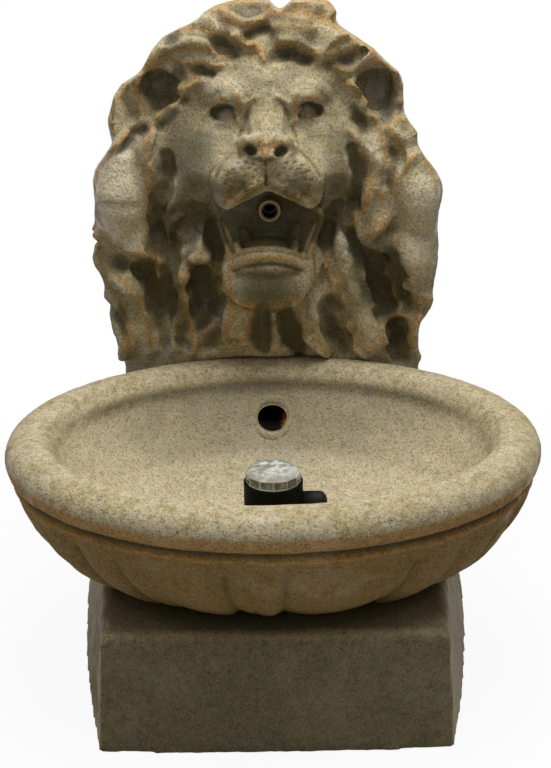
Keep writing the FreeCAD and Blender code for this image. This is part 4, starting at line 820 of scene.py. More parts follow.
# The crests that stand up on the locks and the ears: u, v and radius
EDGES = traced({
    "crown_left_tip": [(204, 9, 3.2), (211, 7.5, 4.2), (221, 11, 4.4), (232, 20, 4.4), (243, 25.5, 4.2),
        (255, 24.5, 4), (266, 19, 3.8)],
    "crown_left_back": [(219, 6, 3), (230, 2, 4.5), (244, -1, 5), (258, 3, 4.5), (268, 8, 4)],
    "crown_mid": [(263, 18, 3.2), (270, 13, 4), (280, 12.5, 4.2), (289, 12.5, 4), (297, 9, 3.6),
        (303, 5, 3.4)],
    "crown_right_top": [(292, 4, 4), (303, -1, 5), (318, -1, 5), (330, 4, 4), (337, 10, 3.6), (333, 16, 3)],
    "crown_right": [(299, 12, 3.4), (305, 9, 3.8), (311, 14, 4), (321, 16.5, 4.2), (331, 20.5, 4.4),
        (338, 26, 4.2), (342, 33, 3.8), (350, 38, 3.2), (357, 40, 2.4)],
    "crown_left_second": [(233, 36, 2.6), (239, 38.5, 3.4), (247, 44, 3.8), (255, 47.5, 3.6), (261, 53, 3.2),
        (265, 61, 2.4)],
    "crown_low_right": [(275, 49, 2.4), (283, 44, 3.4), (292, 42, 3.8), (300, 46, 3.8), (308, 49.5, 3.8),
        (316, 51.5, 3.8), (320, 56, 3.2), (316, 63, 2.4)],
    "arch_front": [(323, 58, 2.4), (332, 56, 3), (341, 51, 3.2), (351, 46.5, 3.2), (362, 44.5, 3.2),
        (370, 48, 3), (375, 56, 2.4)],
    "arch_back": [(327, 51, 2.6), (336, 44, 3.4), (346, 39, 3.8), (358, 38, 4), (369, 43, 4), (377, 52, 3.6),
        (381, 60, 3)],
    "brow_left_one": [(184, 62, 2.4), (190, 61.5, 3), (198, 61, 3.2), (206, 62, 3.2), (214, 65.5, 3),
        (223, 66.5, 2)],
    "left_top_one": [(176, 30, 3.4), (186, 28, 4.2), (197, 28.5, 4.2), (208, 31, 4), (216, 36, 3.4)],
    "left_top_three": [(172, 52, 3.4), (183, 50, 4), (195, 47, 4.2), (207, 49, 4), (218, 55, 3.2),
        (228, 60, 2.4)],
    "ball_left_edge": [(136, 81, 2.4), (127, 87, 3), (119, 98, 3), (113.5, 110, 3), (111, 122, 3),
        (113, 132, 2.6)],
    "ball_left_inner": [(143, 122, 2.4), (134, 126, 3), (126, 132, 3.2), (119, 140, 3.4), (112, 151, 3.8),
        (103, 162, 4), (96, 173, 4.2), (93, 186, 4), (93, 200, 3.4)],
    "frayed_left": [(91, 225.5, 2.6), (98, 227.5, 3.2), (106, 234, 3.2), (112, 244, 3.2), (118, 250.5, 3),
        (127, 254, 3.2), (136, 255.5, 3.2), (146, 257.5, 3.4), (153, 261.5, 3.6), (159, 267, 3.8),
        (161, 274, 3.4), (159, 281, 2.4)],
    "big_left_right_edge": [(143, 166, 2.2), (146, 185, 2.6), (145, 205, 3), (145, 224, 3.2), (150, 239, 3.2),
        (156, 251, 3.2), (162, 264, 3)],
    "face_left_high": [(184, 100, 2), (176, 102.5, 2.8), (168, 105.5, 3.2), (160, 112, 3.4), (154, 121, 3.6),
        (150.5, 131, 3.6), (147, 141, 3.8), (145, 150, 3.8), (146.5, 160, 3.8), (151, 168, 3.6),
        (154, 177, 3.4), (152, 187, 3.4), (149, 197, 3.2), (147.5, 209, 2.8), (149, 220, 2.2)],
    "ear_tip_left": [(174, 92, 2.4), (178, 89, 3.2), (184, 86, 4), (191, 83, 4.6), (199, 81, 4)],
    "edge_low_left": [(95, 236, 3.6), (99, 247, 3.8), (101, 262, 3.6), (104, 275, 3.4), (106, 288, 3.2)],
    "flank_one": [(112, 268, 3), (119, 278, 3.6), (128, 286, 3.8), (138, 293, 3.6), (146, 302, 3.2),
        (150, 313, 2.6)],
    "flank_two": [(108, 285, 2.6), (114, 293, 3.2), (120, 302, 3.4), (125, 313, 3.4), (129, 325, 3.2),
        (129, 337, 2.6)],
    "flank_three": [(137, 300, 2.6), (143, 310, 3.4), (147, 322, 3.8), (150, 335, 3.8), (152, 349, 3.4)],
    "flank_low": [(118, 318, 3.4), (122, 328, 4.2), (126, 340, 5), (129, 352, 5)],
    "inner_left_high": [(184, 216, 2), (179, 223, 3), (174, 232, 3.4), (170, 242, 3.4), (168, 252, 3),
        (169, 262, 2.4)],
    "inner_left_parallel": [(166, 262, 3), (172, 274, 3.6), (176, 286, 3.8), (178, 299, 3.6), (181, 312, 3.2),
        (184, 326, 2.8)],
    "inner_left_ridge": [(206, 249, 3), (200, 255, 4.2), (193, 262, 4.6), (187, 269, 4.4), (182, 279, 4),
        (180, 290, 3.8), (183, 301, 3.8), (188, 311, 3.8), (191, 320, 3.6), (191, 331, 3.2), (193, 342, 2.8)],
    "inner_left_low": [(207, 318, 2.6), (205, 327, 3.2), (201, 336, 3.4), (196, 344, 3.2), (192, 352, 3)],
    "inner_left_wall": [(207, 262, 2.4), (216, 270, 3), (222, 281, 3.2), (226, 294, 3)],
    "beard_left": [(229, 265, 2.4), (229.5, 278, 3.2), (229, 290, 3.8), (232, 303, 4.2), (231, 316, 4.4),
        (228, 328, 4.2), (225, 337, 3.6), (227, 345, 3), (236, 344, 2.8), (245, 338, 2.4)],
    "beard_mid_left": [(254, 304, 4), (252, 316, 5), (250, 328, 5), (247, 339, 4)],
    "beard_right": [(292, 276, 2.6), (296, 289, 3.4), (299, 303, 3.8), (301, 317, 4), (306, 327, 4),
        (314, 333.5, 4), (320, 341, 3.8), (324, 349, 3.4), (331, 354, 2.6)],
    "chin_tuft": [(240, 303, 3), (250, 307, 3.6), (261, 306, 3.6), (272, 308, 3.8), (284, 305, 3.4),
        (292, 300, 2.8)],
    "mouth_fold_right": [(322, 219, 2.4), (320, 232, 3), (316, 245, 3.2), (313, 258, 3), (312, 271, 2.6)],
    "cheek_low_right_in": [(324, 252, 4), (329, 265, 5), (330, 278, 5), (328, 291, 4)],
    "leg_right": [(346, 270, 2.6), (340, 279, 3.4), (338, 288, 4), (340, 298, 4.2), (341.5, 308, 4.2),
        (344, 318, 4.2), (348, 328, 4.2), (353.5, 338, 4.2), (360.5, 347, 4), (368, 353, 3.4)],
    "inner_right_one": [(355, 212, 3), (358, 222, 4), (363, 231, 4.6), (371, 240, 4.4), (377, 250, 3.4)],
    "pocket_rib_one": [(366, 255, 3), (368, 270, 4), (371, 286, 4), (376, 302, 3.4)],
    "pocket_rib_two": [(386, 262, 3), (389, 278, 4), (393, 293, 4), (398, 305, 3)],
    "cup_right_top": [(380, 325, 2), (385, 319, 2.8), (394, 315.5, 3), (405, 312.5, 3), (414, 311, 2.8)],
    "cup_right_wall": [(415, 305, 4), (416, 318, 5), (413, 330, 4.6), (409, 341, 4.6), (407, 352, 4.6)],
    "cup_right_inner": [(379, 325, 3), (381, 337, 3.6), (385, 349, 3.6), (392, 358, 3.6)],
    "right_mass_inner": [(417, 153, 2.2), (409, 165, 2.6), (403, 176, 2.8), (397, 188, 2.8), (395.5, 200, 3),
        (392, 211, 3), (386, 221, 3), (380, 232, 2.8), (376, 243, 2.2)],
    "right_mass_rim": [(399, 238, 2.6), (396, 251, 3.2), (396, 264, 3.4), (400, 276, 3.6), (408, 284, 3.8),
        (416, 290, 3.8), (423, 299, 3.8), (427, 308, 3.6), (421, 315, 3)],
    "right_mass_furrow": [(423, 158, 2), (430, 168, 2.4), (435, 180, 2.6), (437, 194, 2.4)],
    "face_right_outer": [(371, 114, 2), (376, 122, 2.8), (381, 133, 3), (385, 146, 3.2), (386, 159, 3.2),
        (382.5, 169, 3.2), (376, 177.5, 3.2), (371, 187, 3), (368, 198, 2.6), (366, 210, 2)],
    "face_right_inner": [(350, 131, 2), (354, 140, 2.8), (361, 150, 3.2), (367, 160, 3.4), (370, 170, 3.4),
        (369, 181, 3.4), (365, 191, 3.2), (362, 202, 3), (364, 213, 2.6)],
    "mid_right_one": [(383, 118, 2.6), (389, 128, 3.4), (396, 139, 3.6), (403, 149, 3.4), (407, 160, 3),
        (404, 172, 2.4)],
    "mid_right_two": [(374, 190, 3), (381, 198, 4.2), (384, 209, 4.6), (379, 220, 4), (372, 230, 3.4)],
    "mid_right_three": [(390, 160, 4), (393, 172, 5), (390, 184, 5), (386, 196, 4)],
    "ball_right_top": [(398, 122, 2.2), (404, 119.5, 2.8), (411, 122, 2.8), (416, 128, 2.8), (419, 137, 2.4)],
    "face_right_high": [(343, 86, 2.4), (349, 84, 3.2), (355, 86, 3.6), (361, 92, 3.8), (366, 100, 3.8),
        (371, 107, 3.4), (373, 112, 2.4)],
    "brow_link_right": [(316, 66, 2.6), (326, 64, 3), (336, 66, 3.2), (345, 71, 3)],
    "ear_left": [(194, 78, 2.6), (191, 69, 3.4), (183, 61, 3.6), (173, 57.5, 3.7), (162, 58, 3.8),
        (151, 64, 3.8), (144, 72, 3.8), (139.5, 82, 3.8), (137.5, 92, 3.8), (139, 102, 3.8), (143, 111, 3.6),
        (149, 119, 3.2)],
    "ear_right": [(327, 63, 2.4), (336, 65, 2.8), (344, 71, 3), (352, 73, 3.2), (358, 68.5, 3.5),
        (366, 63, 3.7), (375, 60, 3.8), (385, 61, 3.8), (394, 66, 3.8), (400, 74, 3.8), (403.5, 84, 3.8),
        (403.5, 97, 3.8), (400.5, 109, 3.6), (397, 119, 3.2), (396, 126, 2.4)],
})

# The hollows between the locks: u, v and radius
HOLLOWS = traced({
    "crack_left": [(98, 202.5, 1.2), (110, 201.5, 1.3), (122, 203, 1.3), (134, 202, 1.1)],
    "crown_gap_left": [(217, 40, 4), (222, 46, 6), (229, 51, 5), (236, 55, 3)],
    "crown_gap_mid": [(246, 36, 3), (258, 31, 3.6), (270, 29, 3)],
    "crown_gap_right": [(268, 20, 2.6), (281, 20, 3.2), (295, 21, 3), (309, 25, 2.6)],
    "crown_pit": [(236, 12, 4), (247, 15, 5), (257, 12, 4)],
    "crown_under": [(271, 57, 3), (281, 53, 4), (291, 51, 4), (300, 55, 3.4), (308, 60, 3)],
    "crown_under_right": [(328, 64, 3), (338, 60, 3.4), (348, 56, 3.4), (360, 54, 3.2)],
    "left_crease": [(190, 34, 2), (200, 35, 2.2), (210, 38, 2)],
    "left_crease_two": [(160, 56, 2.6), (170, 46, 3), (184, 43, 2.8)],
    "brow_left_under": [(194, 69, 2.6), (202, 70, 3), (211, 72, 2.6)],
    "valley_left": [(156, 196, 4), (160, 212, 7), (164, 228, 8), (166, 244, 6), (172, 258, 4)],
    "valley_left_low": [(170, 262, 3), (166, 275, 5), (168, 292, 7), (173, 308, 7), (178, 324, 6),
        (182, 340, 5)],
    "valley_left_side": [(118, 262, 4), (132, 264, 6), (145, 268, 6), (152, 280, 5)],
    "valley_left_deep": [(150, 285, 4), (157, 298, 6), (160, 312, 6), (163, 328, 5), (166, 342, 5)],
    "flank_pit": [(119, 308, 2.4), (121, 316, 3.2), (125, 330, 3)],
    "cup_left": [(200, 272, 6), (206, 284, 9), (208, 298, 10), (209, 312, 9), (214, 326, 8), (214, 340, 7)],
    "cheek_valley_left": [(196, 206, 3), (205, 219, 5), (212, 233, 5.5), (217, 246, 4.5), (221, 258, 3)],
    "throat": [(262, 312, 4), (262, 322, 5), (261, 334, 5), (263, 345, 4)],
    "throat_right": [(287, 312, 4), (290, 323, 5), (294, 336, 5.5), (300, 348, 5)],
    "wedge_right": [(331, 297, 4), (331, 310, 6.5), (333, 323, 7.5), (338, 336, 7.5), (342, 347, 6)],
    "cheek_valley_right": [(338, 205, 3), (332, 218, 4.4), (328, 231, 4.4), (324, 243, 4)],
    "pocket_right": [(362, 250, 4), (369, 262, 6.5), (376, 277, 8), (382, 292, 8), (388, 304, 6)],
    "pocket_right_two": [(392, 254, 4), (395, 266, 5), (398, 280, 6), (404, 294, 6), (409, 302, 5)],
    "pocket_right_top": [(352, 232, 3), (356, 242, 5), (360, 252, 5)],
    "cup_right": [(392, 322, 4), (396, 331, 7), (398, 342, 7.5), (399, 352, 6)],
    "edge_right_dark": [(355, 108, 3), (361, 117, 4), (364, 126, 3.4)],
    "edge_right_dark_two": [(352, 148, 2.4), (358, 161, 3.4), (361, 175, 3.6), (358, 190, 3.6),
        (355, 204, 3.4)],
    "ear_left_cup": [(176, 74, 5), (170, 80, 9), (163, 87, 11), (158, 96, 10), (157, 105, 7)],
    "ear_right_cup": [(364, 78, 5), (372, 80, 9), (380, 86, 11.5), (385, 96, 11), (387, 107, 8),
        (386, 116, 4)],
    "left_edge_dark": [(165, 155, 3), (167, 170, 4), (164, 185, 4.5), (160, 200, 4.5)],
    "face_left_under": [(176, 110, 2.4), (167, 116, 3), (160, 126, 3)],
    "right_mid_groove": [(391, 148, 2), (394, 160, 2.4), (394, 172, 2.4), (390, 184, 2.2)],
    "ball_left_crease": [(146, 126, 2), (136, 133, 2.2), (127, 141, 2.4), (119, 152, 2)],
})

# Broad ovals, raised or sunk: u, v, half width, half height, lean and height
MASSES = placed({
    "ear_left_back": (163, 84, 25, 28, 8, 9),
    "ear_right_back": (381, 88, 25, 30, -8, 9),
    "left_top_mass": (180, 42, 30, 19, -24, 6),
    "right_top_mass": (348, 52, 26, 17, 28, 5),
    "crown_mass": (285, 22, 34, 14, 8, 5),
    "cheek_shade_left": (178, 225, 20, 32, -8, -7),
    "ear_left_cup": (164, 88, 14, 19, 14, -7),
    "ear_right_cup": (378, 92, 15, 22, -12, -7),
    "cheek_shade_right": (352, 215, 14, 26, 6, -5),
})

# Ovals of painted shade, which paint light where the strength is negative: u, v, half width, half height,
# lean and strength
PAINTED_SHADE_OVALS = placed({
    "lower_left": (178, 265, 34, 62, -8, 0.5),
    "lower_right": (374, 278, 32, 58, 8, 0.6),
    "chin": (268, 288, 34, 24, 0, 1),
    "flank_left": (133, 305, 26, 40, -6, 0.3),
    "beard": (268, 335, 42, 26, 0, 0.6),
    "cheek_left": (190, 152, 26, 36, -6, 0.8),
    "cheek_right": (346, 155, 22, 38, 6, 0.6),
    "jowl_left": (196, 205, 26, 28, 0, 0.6),
    "jowl_right": (338, 205, 22, 28, 0, 0.6),
    "jaw_side_left": (214, 245, 12, 32, -8, 0.5),
    "jaw_side_right": (326, 245, 12, 32, 8, 0.5),
    "pad_left": (238, 184, 26, 24, 0, 0.8),
    "pad_right": (296, 184, 26, 24, 0, 0.8),
    "eye_left": (223, 112.5, 12.5, 8.4, 8, 1.5),
    "eye_right": (310, 110.5, 12.5, 8.4, -8, 1.5),
    "ball_left": (225, 114.5, 8.8, 7, 4, -1.2),
    "ball_right": (308.5, 112, 8.8, 7, -4, -1.2),
    "nostril_left": (249.5, 150.5, 6, 4.4, 24, 1.4),
    "nostril_right": (281.5, 151.5, 6, 4.4, -24, 1.4),
    "nose_under": (266, 161, 20, 5, 0, 0.7),
})

# Ovals painted pale as highlights and glints, in the same order
PAINTED_HIGHLIGHT_OVALS = placed({
    "lock_left": (118, 190, 26, 50, -6, 1.3),
    "lock_left_low": (135, 245, 22, 22, -20, 0.5),
    "lock_right": (422, 215, 20, 50, 6, 0.9),
    "lock_right_in": (380, 155, 12, 34, -10, 0.4),
    "eye_under_left": (214, 131, 12, 6, 20, 0.7),
    "eye_under_right": (320, 128, 12, 7, -20, 0.7),
    "forehead": (262, 76, 44, 18, 0, 0.3),
    "strand_right": (345, 262, 8, 22, 6, 0.4),
    "glint_left": (196, 236, 7, 14, 20, 0.8),
    "glint_left_low": (186, 250, 7, 6, 0, 0.6),
    "glint_right": (347, 247, 6, 13, -8, 0.9),
    "glint_right_low": (350, 282, 4, 16, -6, 0.7),
    "glint_side_right": (372, 150, 5, 14, -4, 0.8),
    "glint_crown": (200, 55, 9, 5, 10, 0.6),
    "glint_lock": (128, 172, 6, 22, 8, 0.8),
    "brow_bare_left": (205, 104, 5, 8, 0, 0.3),
})

# Ovals of rust, in the same order
RUSTS = placed({
    "nose": (266, 146, 22, 9, 0, 0.8),
    "brow_left": (217, 97, 15, 3.6, 12, 0.5),
    "brow_right": (317, 95, 15, 3.6, -12, 0.5),
    "fold_left": (239, 108, 4.5, 15, 0, 0.3),
    "fold_right": (295, 107, 4.5, 15, 0, 0.3),
    "pad_low_left": (238, 196, 22, 9, 20, 0.7),
    "pad_low_right": (296, 196, 22, 9, -20, 0.7),
    "pad_left": (240, 176, 22, 15, 0, 0.5),
    "pad_right": (294, 176, 22, 15, 0, 0.5),
    "lip_low": (267, 258, 38, 5, 0, 0.8),
    "chin_low": (268, 303, 26, 7, 0, 0.5),
    "crown": (262, 50, 30, 14, 10, 0.5),
    "crown_right": (300, 22, 34, 16, 0, 0.5),
    "crown_left": (222, 26, 16, 18, 20, 0.5),
    "left_low": (150, 255, 14, 16, -30, 0.6),
    "ear_left": (158, 62, 22, 8, 0, 0.5),
    "ear_right": (385, 65, 18, 8, 0, 0.5),
})

# The mane's two sides by height: v, u on the left and u on the right
OUTLINE_ROWS = [(-3, 250, 318), (0, 233, 330), (6, 212, 335), (12, 202, 339), (18, 198, 337), (24, 187, 340),
    (30, 174, 348), (36, 162, 357), (48, 151, 375), (60, 145, 387), (72, 138, 401), (84, 120, 405),
    (96, 112, 405), (108, 109, 406), (120, 106, 409), (132, 108, 419), (144, 111, 419), (156, 103, 426),
    (168, 94, 436), (180, 91, 443), (192, 92, 446), (204, 93, 442), (216, 90, 440), (228, 88, 439),
    (240, 89, 440), (252, 83, 440), (264, 91, 439), (276, 100, 437), (288, 103, 435), (300, 101, 435),
    (312, 100, 431), (324, 109, 421), (336, 112, 420), (348, 117, 420), (360, 115, 425)]

# The notch in the crown: u and v
NOTCH = [(297, -4), (287, 4), (280, 10.5), (275, 6), (266, -3)]

# The face's round forms: u, v, depth and radius
FACE_FORMS = deep({
    "bridge": [(268, 78, 133, 13), (268, 92, 130, 16), (267, 106, 127, 17), (267, 120, 121.5, 17),
        (267, 132, 110.5, 15.5), (267, 141, 102, 13.5)],
    "nose_bar": [(246, 149, 101, 4.6), (248.5, 144, 98, 5.8), (256, 142, 96, 7.2), (266.5, 142, 95, 8),
        (277, 142, 96, 7.2), (284.5, 144, 98, 5.8), (287, 149, 101, 4.6)],
    "brow_left": [(203, 97, 139, 7), (215, 91, 134, 9.5), (229, 89, 131, 10), (243, 92, 129, 8)],
    "brow_right": [(288, 91, 129, 8), (302, 87, 131, 10), (317, 88, 134, 9.5), (329, 95, 139, 7)],
    "cheekbone_left": [(196, 134, 142, 8), (208, 134, 138, 9.5), (221, 135, 133, 9), (233, 139, 126, 8)],
    "cheekbone_right": [(301, 138, 126, 8), (313, 133, 133, 9), (326, 132, 138, 9.5), (338, 133, 142, 8)],
    "jaw_left": [(231, 252, 117, 5), (230, 268, 114, 7), (233, 284, 114, 8), (240, 296, 114, 7)],
    "jaw_right": [(305, 250, 117, 5), (306, 266, 114, 7), (303, 282, 114, 8), (295, 294, 114, 7)],
})

# Eggs on the face: u, v, depth, three half sizes and lean
FACE_LUMPS = deep_eggs({
    "muzzle": (267, 166, 113, 33, 21, 24, 0),
    "pad_left": (241, 179, 104.5, 25, 19, 20, 0),
    "pad_left_low": (231, 190, 104.5, 15, 15, 16, 24),
    "pad_right": (293, 179, 104.5, 25, 19, 20, 0),
    "pad_right_low": (304, 190, 104.5, 15, 15, 16, -24),
    "nose_body": (266.5, 149, 99, 15, 12, 9, 0),
    "nose_tip": (266, 156, 93.5, 7.5, 7.5, 8.5, 0),
    "chin_mass": (268, 282, 119, 31, 19, 23, 0),
    "chin_front": (268, 286, 111, 29, 14, 17, 0),
    "jaw_floor": (267, 262, 118, 30, 17, 12, 0),
    "chin_low": (268, 297, 116, 30, 14, 10, 0),
})

# Folds that stand up on the face: u, v and radius
FACE_FOLDS = traced({
    "lid_left": [(205, 116, 1.8), (211, 108, 2.6), (218, 101.5, 3.2), (226, 99, 3.3), (233, 102, 2.8),
        (237, 108, 2)],
    "lid_left_low": [(212, 118, 1.2), (218, 122.5, 1.7), (226, 124, 1.8), (233, 120, 1.4)],
    "lid_right": [(296, 106, 2), (300, 98.5, 2.8), (308, 95.5, 3.3), (317, 98.5, 3.2), (322.5, 105, 2.7),
        (327, 113, 1.9)],
    "lid_right_low": [(300, 118, 1.4), (306, 121.5, 1.8), (314, 120.5, 1.7), (320, 115.5, 1.2)],
    "fold_left": [(236, 95, 3), (239.5, 103, 4.4), (239.5, 113, 4.4), (241, 124, 3)],
    "fold_right": [(297.5, 94, 3), (294.5, 103, 4.4), (294.5, 112, 4.4), (293, 123, 3)],
    "fold_left_in": [(256, 98, 2), (250, 102, 2.6), (246, 109, 2.6), (243, 118, 2.2)],
    "fold_right_in": [(276, 97, 2.2), (283, 101, 2.8), (289, 107, 2.8), (292, 116, 2.2)],
    "wing_left": [(245, 137, 2), (240.5, 142, 2.4), (240.5, 149, 2.2), (245, 154, 1.8)],
    "wing_right": [(289, 137, 2), (294, 142, 2.4), (294, 149, 2.2), (289.5, 155, 1.8)],
    "septum": [(266, 143, 2.2), (266, 150, 2.6), (265.5, 157, 2.4)],
    "lip_up_left": [(262, 180, 1.8), (250, 187, 2.2), (240, 195, 2.3), (231, 202, 2)],
    "lip_up_right": [(271, 180, 1.8), (284, 187, 2.2), (296, 194, 2.3), (306, 202, 2)],
})

# Grooves that are sunk in the face: u, v and radius
FACE_GROOVES = traced({
    "lid_line_left": [(213, 110, 0.9), (219.5, 105.8, 1.2), (227, 104.6, 1.2), (233, 107.5, 1)],
    "lid_line_right": [(299.5, 105.5, 1), (305, 102.2, 1.2), (312, 102.8, 1.2), (319, 107.5, 0.9)],
    "philtrum": [(265.5, 160, 0.9), (265.5, 168, 1), (266, 176, 1.1), (266, 184, 1.3)],
    "bridge_left": [(255, 100, 1.6), (249, 107, 1.9), (246, 116, 1.9), (243, 127, 1.8), (238, 136, 1.5)],
    "bridge_right": [(279, 100, 1.6), (285, 107, 1.9), (288.5, 116, 1.9), (292, 127, 1.8), (297, 136, 1.5)],
    "under_nose_left": [(248, 157, 1.4), (254, 159, 1.6), (261, 160, 1.4)],
    "under_nose_right": [(270, 160, 1.4), (277, 159, 1.6), (284, 157, 1.4)],
    "chin_crease": [(232, 272, 1.2), (246, 266, 1.6), (258, 264, 1.8), (268, 263.5, 1.8), (279, 264, 1.8),
        (290, 266.5, 1.6), (302, 271, 1.2)],
    "whisker_left_one": [(223, 170, 0.5), (229, 172.5, 0.8), (236, 174, 0.8)],
    "whisker_left_two": [(226, 179, 0.6), (234, 182, 0.9), (244, 182, 0.8)],
    "whisker_left_three": [(231, 189, 0.5), (238, 190, 0.8), (247, 187, 0.6)],
    "whisker_right_one": [(296, 174.5, 0.8), (304, 173, 0.8), (311, 170, 0.5)],
    "whisker_right_two": [(288, 181, 0.8), (297, 182, 0.9), (307, 179, 0.6)],
    "whisker_right_three": [(286, 187, 0.6), (295, 190, 0.8), (302, 189, 0.5)],
    "muzzle_edge_left": [(232, 153, 1.2), (225, 160, 1.6), (219, 168, 1.6), (216, 177, 1.2)],
    "muzzle_edge_right": [(302, 152, 1.2), (309, 159, 1.6), (316, 167, 1.6), (320, 176, 1.2)],
})

# Ovals of the face, raised or sunk: u, v, half width, half height, lean and height
FACE_DENTS = placed({
    "socket_left": (223, 113.5, 12, 8.4, 8, -8),
    "socket_right": (310, 111, 12, 8.4, -8, -8),
    "eyeball_left": (225, 114, 9.6, 7.6, 4, 8),
    "eyeball_right": (308.5, 111.5, 9.6, 7.6, -4, 8),
    "eye_corner_left": (236, 116, 3.2, 4.6, 0, -3),
    "eye_corner_right": (297, 114, 3.2, 4.6, 0, -3),
    "nostril_left": (249.5, 150.5, 6.2, 4.6, 24, -10),
    "nostril_right": (281.5, 151.5, 6.2, 4.6, -24, -10),
    "cheek_left": (210, 150, 22, 20, 0, -3),
    "cheek_right": (328, 148, 20, 20, 0, -3),
    "mouth_side_left": (214, 226, 8, 22, -8, -5),
    "mouth_side_right": (326, 224, 8, 22, 8, -5),
})

# The lips: u, v, depth and radius
FACE_RIMS = deep({
    "lip_left": [(233, 203, 105, 1.8), (226, 208, 107.5, 2.2), (221, 214, 109, 2.4), (219.5, 221, 110, 2.3),
        (221.5, 230, 110, 2.2), (225, 240, 110.5, 2.2), (228.5, 251, 111, 2.4), (230, 263, 112, 2.5)],
    "lip_right": [(308, 203, 105, 2), (315, 208, 107, 2.6), (320.5, 213.5, 108, 2.7), (320.5, 221, 110, 2.4),
        (317, 231, 110, 2.2), (313, 242, 110.5, 2.2), (309, 253, 111, 2.4), (307, 265, 112, 2.5)],
    "lip_low_upper": [(231, 259, 112, 2), (238, 253.5, 106, 2.3), (248, 250, 101.5, 2.4),
        (258, 248.5, 99.5, 2.5), (268, 248, 98.5, 2.5), (279, 248.5, 99.5, 2.5), (289, 251, 102.5, 2.4),
        (298, 255, 107, 2.3), (305, 259, 112, 2)],
    "lip_low": [(228, 267, 113, 2.2), (236, 263, 106, 2.5), (246, 259.5, 100.5, 2.7), (256, 257.5, 97.5, 2.8),
        (267, 256.5, 96.5, 2.8), (278, 257, 97.5, 2.8), (289, 259.5, 100.5, 2.7), (299, 263.5, 106, 2.5),
        (307, 267, 113, 2.2)],
})

# Teeth, gums and tongue: u, v, depth, three half sizes and lean
FACE_TEETH = deep_eggs({
    "canine_left": (237.5, 246, 105.5, 3, 3.2, 5.4, -6),
    "canine_right": (295, 246, 105.5, 3, 3.2, 5.4, 6),
    "gum_left": (246, 238, 118, 4, 5, 10, -10),
    "gum_right": (296, 235, 118, 4, 5, 11, 10),
    "tongue": (267, 247, 113, 18, 13, 5.5, 0),
    "jaw_fill": (268, 253, 110, 25, 10, 4.5, 0),
})

# The open mouth, clockwise from its apex: u and v
MOUTH = seen_at(MOUTH_PLANE, [(268, 187), (280, 190), (292, 196), (303, 202), (311, 206), (317, 213),
    (318, 220), (315, 230), (311, 240), (304, 246), (292, 246), (280, 245), (268, 245), (255, 245),
    (243, 246), (232, 247), (227, 240), (223, 229), (221.5, 217), (225, 209), (233, 203), (243, 198),
    (256, 191)])

# Where the whiskers leave the muzzle: u and v
WHISKER_PITS = seen_at(FRONT_PLANE, [(238, 163), (246, 162), (253, 164), (233, 169.5), (241, 169), (249, 168),
    (256, 170), (228, 175), (236, 177), (245, 176), (253, 177), (226, 183), (234, 186), (243, 185),
    (251, 184), (259, 181), (229, 192), (238, 193), (246, 191), (287, 163), (295, 162), (302, 165),
    (284, 168), (291, 169), (299, 169), (307, 171), (279, 175), (288, 176), (296, 176), (304, 178),
    (311, 180), (283, 183), (291, 185), (300, 186), (308, 187), (286, 191), (295, 193), (303, 194)])

# A short groove at each pit
DOTS = {dot: [(x - 0.9, z, 0.9), (x + 0.9, z + 0.2, 0.8)] for dot, (x, z) in enumerate(WHISKER_PITS)}


def outline():
    """The mane's outline on its rear plane in places (x, z), which opens wide below the basin's lip."""
    left = [(x + OUTLINE_SPARE, z) for x, z in seen_at(REAR_PLANE, [(u, v) for v, u, _ in OUTLINE_ROWS])]
    right = [(x - OUTLINE_SPARE, z) for x, z in seen_at(REAR_PLANE, [(u, v) for v, _, u in OUTLINE_ROWS])]
    wide, foot, bottom, step = 230.0, 188.0, -20.0, 4.0
    return [(wide, bottom), (wide, foot), (right[-1][0] + step, foot), *reversed(right),
            *seen_at(REAR_PLANE, NOTCH), *left, (left[-1][0] - step, foot), (-wide, foot), (-wide, bottom)]


# Operators

def plinth_painted_shadow(place, _):
    """How dark the pedestal's top is painted near the basin's foot: the basin's painted shadow."""
    near = math.hypot(place.x / 120.0, (place.y + 20.0) / 100.0)
    return 1.05 * smooth_step(place.z, *PLINTH_TOP) * (1.0 - smooth_step(near, 0.85, 1.35))


def plinth_pale(place, normal):
    """How pale the pedestal is: on its side faces, and on its worn front corners and front edge."""
    corner = smooth_step(abs(place.x), *PLINTH_CORNER_X) * smooth_step(-place.y, *PLINTH_CORNER_Y)
    edge = smooth_step(place.z, *PLINTH_EDGE_Z) * smooth_step(-place.y, *PLINTH_EDGE_Y)
    return 0.9 * smooth_step(abs(normal.x), 0.55, 0.85) + 0.45 * corner + 0.65 * edge


class FOUNTAIN_OT_pedestal(bpy.types.Operator):
    """Recasts the pedestal with soft, uneven faces."""
    bl_idname = "fountain.pedestal"
    bl_label = "Pedestal"

    def execute(self, context):
        stone = settings("stone")
        mesh = recast(node_shape("pedestal"), stone.pedestal_cell, stone.unevenness * 1.4, 3)
        carve_marks(mesh, (10, 0.0019), (14, 0.006), dark=plinth_painted_shadow, bright=plinth_pale)
        finish = cast_stone("plinth_stone", 0.20, 0.0, mottled=0.35, body=stone.plinth, pale=stone.worn)
        show("cast_pedestal", mesh, finish, ["pedestal"])
        return {"FINISHED"}


def basin_place(place):
    """How far out a place in millimetres is on the basin's oval, and its angle from the front in degrees."""
    across, along = place.x / LIP_HALF[0], -place.y / LIP_HALF[1]
    return math.hypot(across, along), math.degrees(math.atan2(across, along))


def flute(place):
    """How deep the grooves between the basin's lobes are, from 0 to 1."""
    out, angle = basin_place(place)
    arc = min(abs(angle - groove) for groove in GROOVE_ANGLES) * out * 2.7
    under = smooth_step(167.0 - place.z, 0.0, 16.0) * smooth_step(out, 0.22, 0.38)
    return under * nearness(arc, 0.0, 9.0) ** 2


